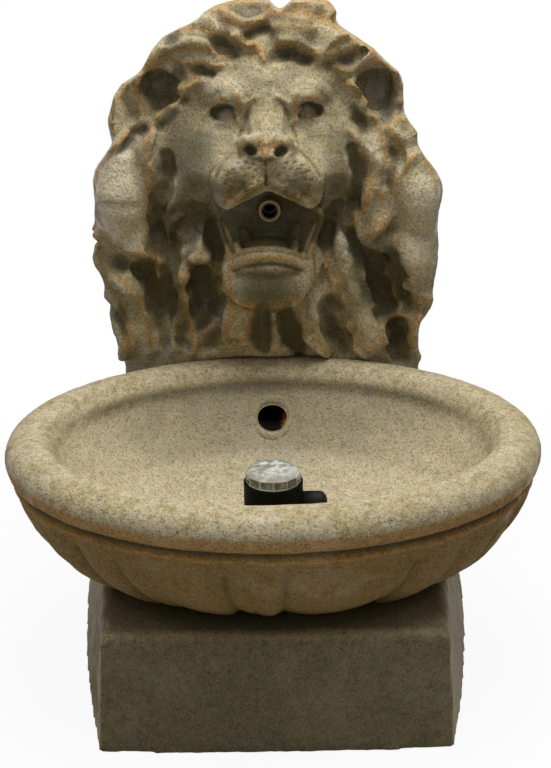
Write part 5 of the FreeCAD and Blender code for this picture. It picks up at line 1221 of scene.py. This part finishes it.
def basin_outside(place, normal):
    """How surely a point is on the basin's outer side, from 0 to 1."""
    side = Vector((place.x / LIP_HALF[0], place.y / LIP_HALF[1], 0.0)).normalized()
    return smooth_step(side.dot(normal), 0.0, 0.25) if place.z > 112.0 else 1.0


def shape_basin(mesh):
    """Cuts the grooves between the lobes and deepens the groove under the lip."""
    normals = [point.normal.copy() for point in mesh.vertices]
    for point, normal in zip(mesh.vertices, normals):
        place = point.co / MM
        outside = basin_outside(place, normal)
        if not outside or place.z > 183.0:
            continue
        side = Vector((normal.x, normal.y, 0.0))
        groove = nearness(place.z, LIP_GROOVE, 3.6)
        bead = nearness(place.z, BEAD, 3.0)
        point.co += outside * (side * (bead * 2.0 - groove * 3.8) - normal * (flute(place) * 5.0 - 1.0)) * MM
    mesh.update()
    return mesh


def basin_marks(mesh):
    """Rust on the lip's lower edge and the bead, soot and painted shade in the grooves, painted shade down
    the bowl's rear wall and under its inner edge, and a paler inside.
    """
    ridges = [value / 0.0009 for value in heights(mesh, 5)]
    hollows = [-value / 0.005 for value in heights(mesh, 20)]
    unders, bare = [], []
    for index, point in enumerate(mesh.vertices):
        place = point.co / MM
        outside = basin_outside(place, point.normal)
        inside = 1.0 - outside
        lip = nearness(place.z, LIP_EDGE, 8.5)
        bead = nearness(place.z, BEAD, 2.6)
        groove = nearness(place.z, LIP_GROOVE, 4.6)
        inner_edge_shade = nearness(place.z, 190.0, 9.0)
        ridges[index] = ridges[index] * 0.5 + outside * (lip * 2.2 + bead * 1.3)
        back = smooth_step(place.y, 20.0, 100.0) * smooth_step(place.z, 125.0, 150.0)
        below_rim = 1.0 - smooth_step(place.z, 190.0, 200.0)
        # Soot and painted shade in the hollows and grooves outside; painted shade down the rear wall and in a
        # band under the inner edge inside
        hollows[index] = (outside * (hollows[index] + groove * 0.75 + flute(place) * 0.40)
                          + inside * (back * below_rim * 0.46 + inner_edge_shade * 0.28))
        unders.append(outside * (1.0 - smooth_step(place.z, 176.0, 188.0)))
        bare.append(inside * (0.75 if place.z < 185.0 else 0.45))
    write_marks(mesh, ridge=ridges, hollow=hollows, under=unders, bare=bare)


class FOUNTAIN_OT_basin(bpy.types.Operator):
    """Recasts the basin with its rolled lip, groove, bead and lobes."""
    bl_idname = "fountain.basin"
    bl_label = "Basin"

    def execute(self, context):
        stone = settings("stone")
        mesh = shape_basin(whole(node_shape("basin"), stone.basin_cell))
        mesh = recast(loose(mesh), stone.basin_cell, stone.unevenness * 0.8, 1)
        basin_marks(mesh)
        amber = tuple(part * gain for part, gain in zip(stone.rust, (1.22, 1.10, 0.80)))
        finish = cast_stone("basin_stone", 0.45, rust=amber)
        show("cast_basin", mesh, finish, ["basin"])
        return {"FINISHED"}


def ring(radius, height, middle, sides):
    """Places in metres round a middle, at a radius and a height in millimetres."""
    size = radius * MM
    turns = [math.tau * step / sides for step in range(sides)]
    return [Vector((middle.x + size * math.cos(turn), middle.y + size * math.sin(turn), height * MM))
            for turn in turns]


def band(bm, near, far):
    """Faces between two closed rows of points."""
    return [bm.faces.new((near[step - 1], near[step], far[step], far[step - 1])) for step in range(len(near))]


def ring_solid(rings):
    """A closed shape through rings of places in millimetres, the last ring joined to the first."""
    bm = bmesh.new()
    loops = [[bm.verts.new(place * MM) for place in places] for places in rings]
    for index, near in enumerate(loops):
        band(bm, near, loops[(index + 1) % len(loops)])
    bmesh.ops.recalc_face_normals(bm, faces=bm.faces)
    return to_mesh(bm)


class FOUNTAIN_OT_lamp(bpy.types.Operator):
    """Fits the return sleeve flush to the bowl, and finishes the lamp's gland and faceted lens."""
    bl_idname = "fountain.lamp"
    bl_label = "Sleeve and lamp"

    def execute(self, context):
        self.sleeve()
        self.gland()
        self.lens()
        return {"FINISHED"}

    def gland(self):
        """The gland, grown about its own axis."""
        bm = node_shape("light_gland")
        axis = GLAND_HIGH * MM
        for point in bm.verts:
            point.co.y *= GLAND_GROWTH[0]
            point.co.z = axis + (point.co.z - axis) * GLAND_GROWTH[1]
        rubber = moulded("gland_rubber", (0.004, 0.005, 0.003), 0.6, shine=0.2)
        show("lamp_gland", to_mesh(bm), rubber, ["light_gland"])

    def lens(self):
        """A hollow lens with twelve flats, a cut crown and windows set into the flats."""
        box = [Vector(corner) for corner in bpy.data.objects["light_lens"].bound_box]
        middle = sum(box, Vector()) / 8.0
        crown = max(corner.z for corner in box) / MM
        bm = bmesh.new()
        # pane: -1 on the crown and -0.4 on the ring below it, which are painted near white as a highlight; 1
        # on the windows, which are painted dark as the shade behind them
        pane = bm.faces.layers.float.new("pane")
        shell = [(radius, crown - drop) for radius, drop in LENS_OUTSIDE]
        lining = [(radius, crown - drop) for radius, drop in LENS_INSIDE]
        rows = [(shell[0][0], LENS_LOW), *shell, *lining, (lining[-1][0], LENS_LOW)]
        rings = [[bm.verts.new(place) for place in ring(*row, middle, LENS_SIDES)] for row in rows]
        outside, inside = rings[:len(shell) + 1], rings[len(shell) + 1:]
        windows = band(bm, outside[0], outside[1])
        band(bm, outside[1], outside[2])
        for face in band(bm, outside[2], outside[3]):
            face[pane] = -0.4
        for near, far in zip(inside, [*inside[1:], outside[0]]):
            band(bm, near, far)
        bm.faces.new(outside[-1])[pane] = -1.0
        bm.faces.new(inside[0])
        bmesh.ops.recalc_face_normals(bm, faces=bm.faces)
        bmesh.ops.inset_individual(bm, faces=windows, thickness=0.0010, depth=-0.0003)
        for face in windows:
            face[pane] = 1.0
        show("lamp_lens", to_mesh(bm), clear_lens(), ["light_lens"], "light_lens", False)

    def sleeve(self):
        """A tube whose oval front edge follows the bowl's wall, in a collar of stone."""
        bowl = BVHTree.FromObject(bpy.data.objects["cast_basin"], bpy.context.evaluated_depsgraph_get())
        tube, collar = ([[], [], [], []] for _ in range(2))
        for step in range(COLLAR_SIDES):
            turn = math.tau * step / COLLAR_SIDES
            across, up = math.cos(turn), math.sin(turn)
            start = Vector((across * RETURN_REACH, 0.0, RETURN_HIGH + up * RETURN_REACH)) * MM
            hit = bowl.ray_cast(start, Vector((0.0, 1.0, 0.0)))[0]
            lean = (hit.y / MM if hit else RETURN_FRONT) - RETURN_FRONT
            tube_rows = ((SLEEVE_BORE, SLEEVE_BACK), (SLEEVE_BORE, RETURN_FRONT - 0.3 + lean * 0.50),
                         (SLEEVE_RIM, RETURN_FRONT - 0.3 + lean * 0.52), (SLEEVE_RIM, SLEEVE_BACK))
            collar_rows = ((COLLAR_BORE, COLLAR_BACK), (COLLAR_BORE, RETURN_FRONT + lean * 0.52),
                           (COLLAR_RIM, RETURN_FRONT + 0.25 + lean), (COLLAR_RIM, COLLAR_BACK))
            for places, ((wide, high), depth) in zip((*tube, *collar), (*tube_rows, *collar_rows)):
                places.append(Vector((across * wide, depth, RETURN_HIGH + up * high)))
        show("flush_sleeve", ring_solid(tube), sleeve_resin(), ["return_sleeve"])
        mesh = ring_solid(collar)
        # The collar takes the bowl's painted shade on its rear wall and the paleness of the bowl's inside
        shares = {"ridge": 0.0, "hollow": 0.42, "under": 0.0, "bare": 0.75}
        write_marks(mesh, **{mark: [share] * len(mesh.vertices) for mark, share in shares.items()})
        show("sleeve_collar", mesh, bpy.data.materials["basin_stone"])


def sleeve_resin():
    """Pale at the sleeve's edge, painted black inside as the shade in the bore, with a rust stain to the
    upper right.
    """
    finish = Finish("sleeve_stain_and_bore_shade")
    cloud = finish.noise(120.0, 4.0, 0.65)
    side = finish.node("ShaderNodeSeparateXYZ", None, {0: finish.place})
    up = side.beside("Z")
    away = finish.off_axis(RETURN_HIGH, SLEEVE_BORE)
    stain = ((side + up - RETURN_HIGH * MM) * 60.0 + cloud).rise(0.45, 0.85)
    painted_bore_shade = finish.blend(stain * 0.95, (0.004, 0.004, 0.003), (0.46, 0.20, 0.045))
    tint = finish.blend(away.rise(1.01, 1.03), painted_bore_shade, (0.52, 0.44, 0.28))
    return finish.skin(Base_Color=tint, Roughness=0.85, Specular_IOR_Level=0.1,
                       Normal=finish.bump(cloud, 0.0004, 0.6))


def from_face_middle(point):
    """0 in the middle of the face and 1 at its rim, seen from the front."""
    across = (point.x / MM - FACE_MIDDLE[0]) / FACE_REACH[0]
    up = (point.z / MM - FACE_MIDDLE[2]) / FACE_REACH[2]
    return math.hypot(across, up)


def prism(places, front, back, plane=None):
    """A closed prism along Y on an outline of (x, z) places; given a plane, its sides run to the eye."""
    bm = bmesh.new()
    rings = []
    for depth in (front, back):
        size = 1.0 if plane is None else (EYE_BACK + depth) / (EYE_BACK + plane)
        rings.append([bm.verts.new(Vector((x * size, depth, EYE_HIGH + (z - EYE_HIGH) * size)) * MM)
                      for x, z in places])
    bm.faces.new(rings[0])
    bm.faces.new(reversed(rings[1]))
    for index, (near, far) in enumerate(zip(*rings)):
        bm.faces.new((near, far, rings[1][index - 1], rings[0][index - 1]))
    bmesh.ops.recalc_face_normals(bm, faces=bm.faces)
    return bm


def trimmed(mesh):
    """A mesh cut to the outline of the mane as it is seen from the front."""
    return combined(mesh, to_mesh(prism(outline(), -300.0, 300.0, REAR_PLANE)), "INTERSECT")


def trimmed_lion(cell):
    """The CAD casting, cut to the outline of the mane and softened at the cut."""
    return whole(loose(trimmed(whole(node_shape("lion_back"), cell))), cell)


def soften_outside(mesh, steps):
    """Smooths the lion's outside and leaves its hollows and its back as they are."""
    group = [point.index for point in mesh.vertices
             if point.co.y < SOFT_BACK * MM and not in_hollow(point.co, THIN_WALL)]
    bm = loose(mesh)
    bm.verts.ensure_lookup_table()
    chosen = [bm.verts[index] for index in group]
    for _ in range(steps):
        bmesh.ops.smooth_vert(bm, verts=chosen, factor=0.5, use_axis_x=True, use_axis_y=True, use_axis_z=True)
    return to_mesh(bm)


def weather_sides(mesh, depth=7.0):
    """Breaks up the mane's cut sides with hollows, inwards only."""
    normals = [point.normal.copy() for point in mesh.vertices]
    for point, normal in zip(mesh.vertices, normals):
        x, y, z = point.co / MM
        side = 1.0 - smooth_step(abs(normal.y), 0.25, 0.60)
        share = side * smooth_step(y, 70.0, 100.0) * smooth_step(195.0 - y, 0.0, 8.0)
        if share and z > 190.0 and not in_hollow(point.co, BROKEN_WALL):
            broad = noise.noise(Vector((x * 0.022, y * 0.045, z * 0.030)))
            swirl = broad + 0.5 * noise.noise(Vector((x, y, z)) * 0.09)
            point.co -= normal * share * depth * max(0.0, swirl + 0.15) * MM
    mesh.update()
    return mesh


def cut_mouth(mesh, cell):
    """Cuts the open mouth out of a mesh, as a plug that narrows to the wall behind the spout."""
    plug = prism(MOUTH, PLUG_FRONT, PLUG_BACK)
    middle = Vector((0.0, PLUG_BACK, PLUG_HIGH)) * MM
    for point in plug.verts:
        if point.co.y > (PLUG_FRONT + PLUG_BACK) / 2.0 * MM:
            point.co = middle + (point.co - middle) * PLUG_NARROWING
    return combined(mesh, whole(plug, cell))


def mouth_painted_shade(place, _):
    """How dark the stone is painted in the mouth, as shade."""
    egg = zip(place, MOUTH_SHADE_MIDDLE, MOUTH_SHADE_REACH)
    away = math.hypot(*((part - middle) / half for part, middle, half in egg))
    return 1.6 * (1.0 - smooth_step(away, 0.80, 1.02))


class FOUNTAIN_OT_mane(bpy.types.Operator):
    """Carves the mane and the ears over the CAD casting, and beds the face in it."""
    bl_idname = "fountain.mane"
    bl_label = "Mane"

    def execute(self, context):
        stone = settings("stone")
        cell = stone.lion_cell
        mesh = carve(soften_outside(trimmed_lion(cell), 8))
        bed = bmesh.new()
        add_ball(bed, *FACE_MIDDLE, *(0.93 * reach for reach in FACE_REACH))
        mesh = weather_sides(whole(loose(trimmed(whole(loose(mesh), cell))), cell))
        mesh = combined(mesh, to_mesh(bed))
        mesh = recast(loose(mesh), cell, stone.unevenness, 1)
        carve_marks(mesh, (6, 0.0014), (45, 0.007), Relief(mesh))
        finish = cast_stone("mane_stone", 0.8, 0.50, 0.7)
        show("cast_mane", mesh, finish, ["lion_back"])
        return {"FINISHED"}


class FOUNTAIN_OT_face(bpy.types.Operator):
    """Carves the lion's face as a finer piece that is bedded in the mane."""
    bl_idname = "fountain.face"
    bl_label = "Face"

    def execute(self, context):
        stone = settings("stone")
        cell = stone.face_cell
        region = bmesh.new()
        add_ball(region, *FACE_MIDDLE, *FACE_REACH)
        hollow = bmesh.new()
        middle_x, middle_y, middle_z, half_x, half_y, half_z = HEAD_HOLLOW
        add_ball(hollow, middle_x, middle_y, middle_z, half_x + 2.0, half_y + 2.5, half_z + 2.0)
        mesh = carve(soften_outside(trimmed_lion(cell * 1.4), 14))
        mesh = combined(mesh, to_mesh(region), "INTERSECT")
        bm = loose(combined(mesh, to_mesh(hollow)))
        for point in bm.verts:
            point.co.y += (-1.6 + 3.0 * smooth_step(from_face_middle(point.co), 0.93, 0.99)) * MM
        add_strands(bm, FACE_FORMS.values())
        add_balls(bm, FACE_LUMPS.values())
        mesh = baked(whole(bm, cell), [("SMOOTH", {"factor": 0.5, "iterations": 4})])
        relief = Relief(mesh, 4)
        relief.push((1.4, relief.stamped(FACE_FOLDS, 1.4)), (-1.25, relief.stamped(FACE_GROOVES, 1.5)),
                    (-1.2, relief.stamped(DOTS, 1.4)), (1.0, relief.ovals(FACE_DENTS)))
        mesh = cut_mouth(whole(loose(mesh), cell), cell)
        bm = loose(mesh)
        add_strands(bm, FACE_RIMS.values())
        add_balls(bm, FACE_TEETH.values())
        mesh = recast(bm, cell, stone.unevenness * 0.8, 1)
        rims = {name: [(x, z, radius) for x, _, z, radius in route] for name, route in FACE_RIMS.items()}
        lines = (FACE_FOLDS, rims, {**FACE_GROOVES, **DOTS})
        carve_marks(mesh, (8, 0.0009), (60, 0.005), Relief(mesh), lines, mouth_painted_shade)
        finish = cast_stone("face_stone", 0.7, 0.25)
        show("cast_face", mesh, finish)
        return {"FINISHED"}


class FOUNTAIN_OT_fittings(bpy.types.Operator):
    """Gives every visible CAD node its own finish."""
    bl_idname = "fountain.fittings"
    bl_label = "Fittings"

    def execute(self, context):
        chosen = settings("fitting")
        moulds = {
            "sleeve_resin": ((0.36, 0.28, 0.17), 0.5),
            "cover_plastic": (chosen.cover, 0.5, 0.0002),
            "foam_rubber": ((0.02, 0.02, 0.02), 0.9, 0.0004),
            "black_rubber": ((0.010, 0.010, 0.010), 0.62),
            "vinyl_hose": ((0.62, 0.60, 0.52), 0.35),
            "pump_plastic": (chosen.pump, 0.4),
            "white_ceramic": ((0.75, 0.73, 0.69), 0.25, 0.00003, 0.05),
            "rotor_plastic": ((0.70, 0.70, 0.68), 0.35),
            "intake_plastic": (chosen.pump, 0.45),
            "dial_plastic": (chosen.dial, 0.4),
            "clear_rubber": ((0.45, 0.45, 0.42), 0.3),
            "black_plastic": (chosen.housing, 0.6, 0.00012, 0.12, 0.06),
            "circuit_board": ((0.72, 0.73, 0.70), 0.4),
            "diode_resin": ((0.80, 0.74, 0.50), 0.25, 0.00003, 0.08),
        }
        finishes = {name: moulded(name, *row) for name, row in moulds.items()}
        finishes.update({
            "cast_stone": cast_stone("plain_stone", 0.0),
            "adhesive": moulded("mortar", (0.30, 0.28, 0.22), 0.85, 0.0004, 0.3),
            "spout_resin": bored_resin(chosen.spout),
            "stainless_steel": metal("stainless_steel", (0.56, 0.55, 0.53), 0.25),
            "brass": metal("brass", (0.60, 0.42, 0.16), 0.3),
            "clear_lens": clear_lens(),
        })
        slots = node_slots()
        for name in frame["nodes"]:
            piece = bpy.data.objects[name]
            if piece.hide_render:
                continue
            piece.data.materials.clear()
            piece.data.materials.append(finishes[slots[name]])
        return {"FINISHED"}


def node_slots():
    """Each CAD node's material slot, as the packed record has it."""
    return {row["node"]: row["material_slot"] for row in frame["record"]["subparts"]}


def clear_lens():
    """Clear plastic, painted near white on top as a highlight, with windows painted dark as the shade behind
    them, between bright edges.
    """
    finish = Finish("lens_plastic")
    cloud = finish.noise(110.0, 3.0, 0.6)
    pane = finish.node("ShaderNodeAttribute", {"attribute_name": "pane"}, out="Fac")
    tint = finish.blend(cloud.rise(0.40, 0.60), (0.34, 0.33, 0.26), (0.54, 0.54, 0.47))
    # Painted highlight: near white on top
    tint = finish.blend((0.0 - pane).rise(0.0, 1.0) * cloud.rise(0.38, 0.62), tint, (0.86, 0.87, 0.83))
    dark = finish.blend(cloud.rise(0.42, 0.62), (0.045, 0.047, 0.038), (0.20, 0.20, 0.17))
    # Painted shade: the windows dark
    tint = finish.blend(pane.rise(0.0, 1.0) * 0.95, tint, dark)
    return finish.skin(Base_Color=tint, Roughness=0.12, Coat_Weight=0.6, Coat_Roughness=0.08,
                       Normal=finish.bump(cloud, 0.0006, 0.4))


def bored_resin(tint):
    """The spout's pale end, with its bore painted black as shade."""
    finish = Finish("spout_bored")
    cloud = finish.noise(300.0, 3.0)
    away = finish.off_axis(SPOUT_HIGH)
    painted_bore_shade = finish.blend(away.rise(6.1, 6.4), (0.003, 0.003, 0.003), (0.045, 0.028, 0.012))
    shade = finish.blend(away.rise(7.1, 7.6), painted_bore_shade, tint)
    return finish.skin(Base_Color=shade, Roughness=0.5, Normal=finish.bump(cloud, 0.0002, 0.5))


class FOUNTAIN_OT_stage(bpy.types.Operator):
    """Sets the pale floor, the soft lamps, the world and the camera."""
    bl_idname = "fountain.stage"
    bl_label = "Stage"

    def execute(self, context):
        chosen = settings("stage")
        scene = context.scene
        scene.view_settings.view_transform = "Standard"
        self.floor()
        self.world(scene)
        self.lamp("key", chosen.key, where=(0.10, -0.10, 1.75), target=(0.0, 0.02, 0.25), size=1.1)
        self.lamp("fill", chosen.fill, where=(-0.25, -1.6, 0.9), target=(0.0, 0.05, 0.25), size=1.0)
        scene.camera = self.camera(chosen)
        scene.collection.objects.link(scene.camera)
        return {"FINISHED"}

    def camera(self, chosen):
        """The camera, whose lens and shift follow from the picture that the lion is traced in."""
        wide, high = PICTURE_SIZE
        camera = bpy.data.cameras.new("view")
        camera.sensor_fit = "VERTICAL"
        camera.sensor_height = 36.0
        camera.lens = FOCAL * camera.sensor_height / high
        camera.shift_x = (wide / 2.0 - PICTURE_MIDDLE[0]) / high
        stand = bpy.data.objects.new("view", camera)
        tilt = Matrix.Rotation(math.radians(90.0) - chosen.tilt, 4, "X")
        roll = Matrix.Rotation(-chosen.roll, 4, "Z")
        stand.matrix_world = Matrix.Translation((0.0, -chosen.distance, chosen.height)) @ tilt @ roll
        return stand

    def floor(self):
        """A pale floor that keeps the fountain's shadow."""
        finish = Finish("floor")
        away = finish.vector("LENGTH", finish.place, out="Value")
        bare = finish.node("ShaderNodeBsdfDiffuse", None, {"Color": FLOOR_GREY})
        matt = finish.node("ShaderNodeBsdfDiffuse", None, {"Color": FLOOR_PALE})
        glow = finish.node("ShaderNodeEmission", None, {"Color": WHITE, "Strength": 1.0})
        share = away.rise(0.25, 0.75) * 0.07 + 0.93
        pale = finish.node("ShaderNodeMixShader", None, {0: share, 1: matt, 2: glow})
        finish.output(finish.node("ShaderNodeMixShader", None, {0: finish.seen(), 1: bare, 2: pale}))
        bm = bmesh.new()
        bmesh.ops.create_grid(bm, x_segments=1, y_segments=1, size=6.0)
        mesh = to_mesh(bm, "floor")
        mesh.materials.append(finish.material)
        floor = bpy.data.objects.new("floor", mesh)
        bpy.context.scene.collection.objects.link(floor)

    def world(self, scene):
        """White to the eye, and a soft grey light on the object."""
        scene.world = bpy.data.worlds.new("studio")
        scene.world.use_nodes = True
        tree = Tree(scene.world.node_tree, "ShaderNodeOutputWorld")
        grey = tree.node("ShaderNodeBackground", None, {"Color": AMBIENT})
        white = tree.node("ShaderNodeBackground", None, {"Color": WHITE})
        tree.output(tree.node("ShaderNodeMixShader", None, {0: tree.seen(), 1: grey, 2: white}))

    def lamp(self, name, power, where, target, size):
        """A square soft lamp that looks at a point."""
        data = bpy.data.lights.new(name, "AREA")
        data.size = size
        data.energy = power
        lamp = bpy.data.objects.new(name, data)
        aim = (Vector(target) - Vector(where)).to_track_quat("-Z", "Y").to_matrix().to_4x4()
        lamp.matrix_world = Matrix.Translation(where) @ aim
        bpy.context.scene.collection.objects.link(lamp)


class FOUNTAIN_PT_panel(bpy.types.Panel):
    """Lists the fountain's settings and the steps that dress it."""
    bl_label = "Fountain"
    bl_idname = "FOUNTAIN_PT_panel"
    bl_space_type = "VIEW_3D"
    bl_region_type = "UI"
    bl_category = "Fountain"

    def draw(self, context):
        for name, kind in GROUPS.items():
            box = self.layout.box()
            box.label(text=kind.__doc__)
            for field in kind.__annotations__:
                box.prop(getattr(context.scene, "fountain_" + name), field)
        for step in STEPS:
            self.layout.operator(step.bl_idname)


GROUPS = {"stone": StoneSettings, "fitting": FittingSettings, "stage": StageSettings}
STEPS = (FOUNTAIN_OT_pedestal, FOUNTAIN_OT_basin, FOUNTAIN_OT_lamp, FOUNTAIN_OT_mane, FOUNTAIN_OT_face,
         FOUNTAIN_OT_fittings, FOUNTAIN_OT_stage)


def register():
    """Adds the settings, the steps and the panel."""
    for kind in (*GROUPS.values(), *STEPS, FOUNTAIN_PT_panel):
        bpy.utils.register_class(kind)
    for name, kind in GROUPS.items():
        setattr(bpy.types.Scene, "fountain_" + name, PointerProperty(type=kind))


def unregister():
    """Takes them away again."""
    for name in GROUPS:
        delattr(bpy.types.Scene, "fountain_" + name)
    for kind in (FOUNTAIN_PT_panel, *reversed(STEPS), *GROUPS.values()):
        bpy.utils.unregister_class(kind)


def main():
    """Registers the add-on and runs its steps in order."""
    register()
    for step in STEPS:
        group, name = step.bl_idname.split(".")
        getattr(getattr(bpy.ops, group), name)()


if __name__ == "__main__":
    main()
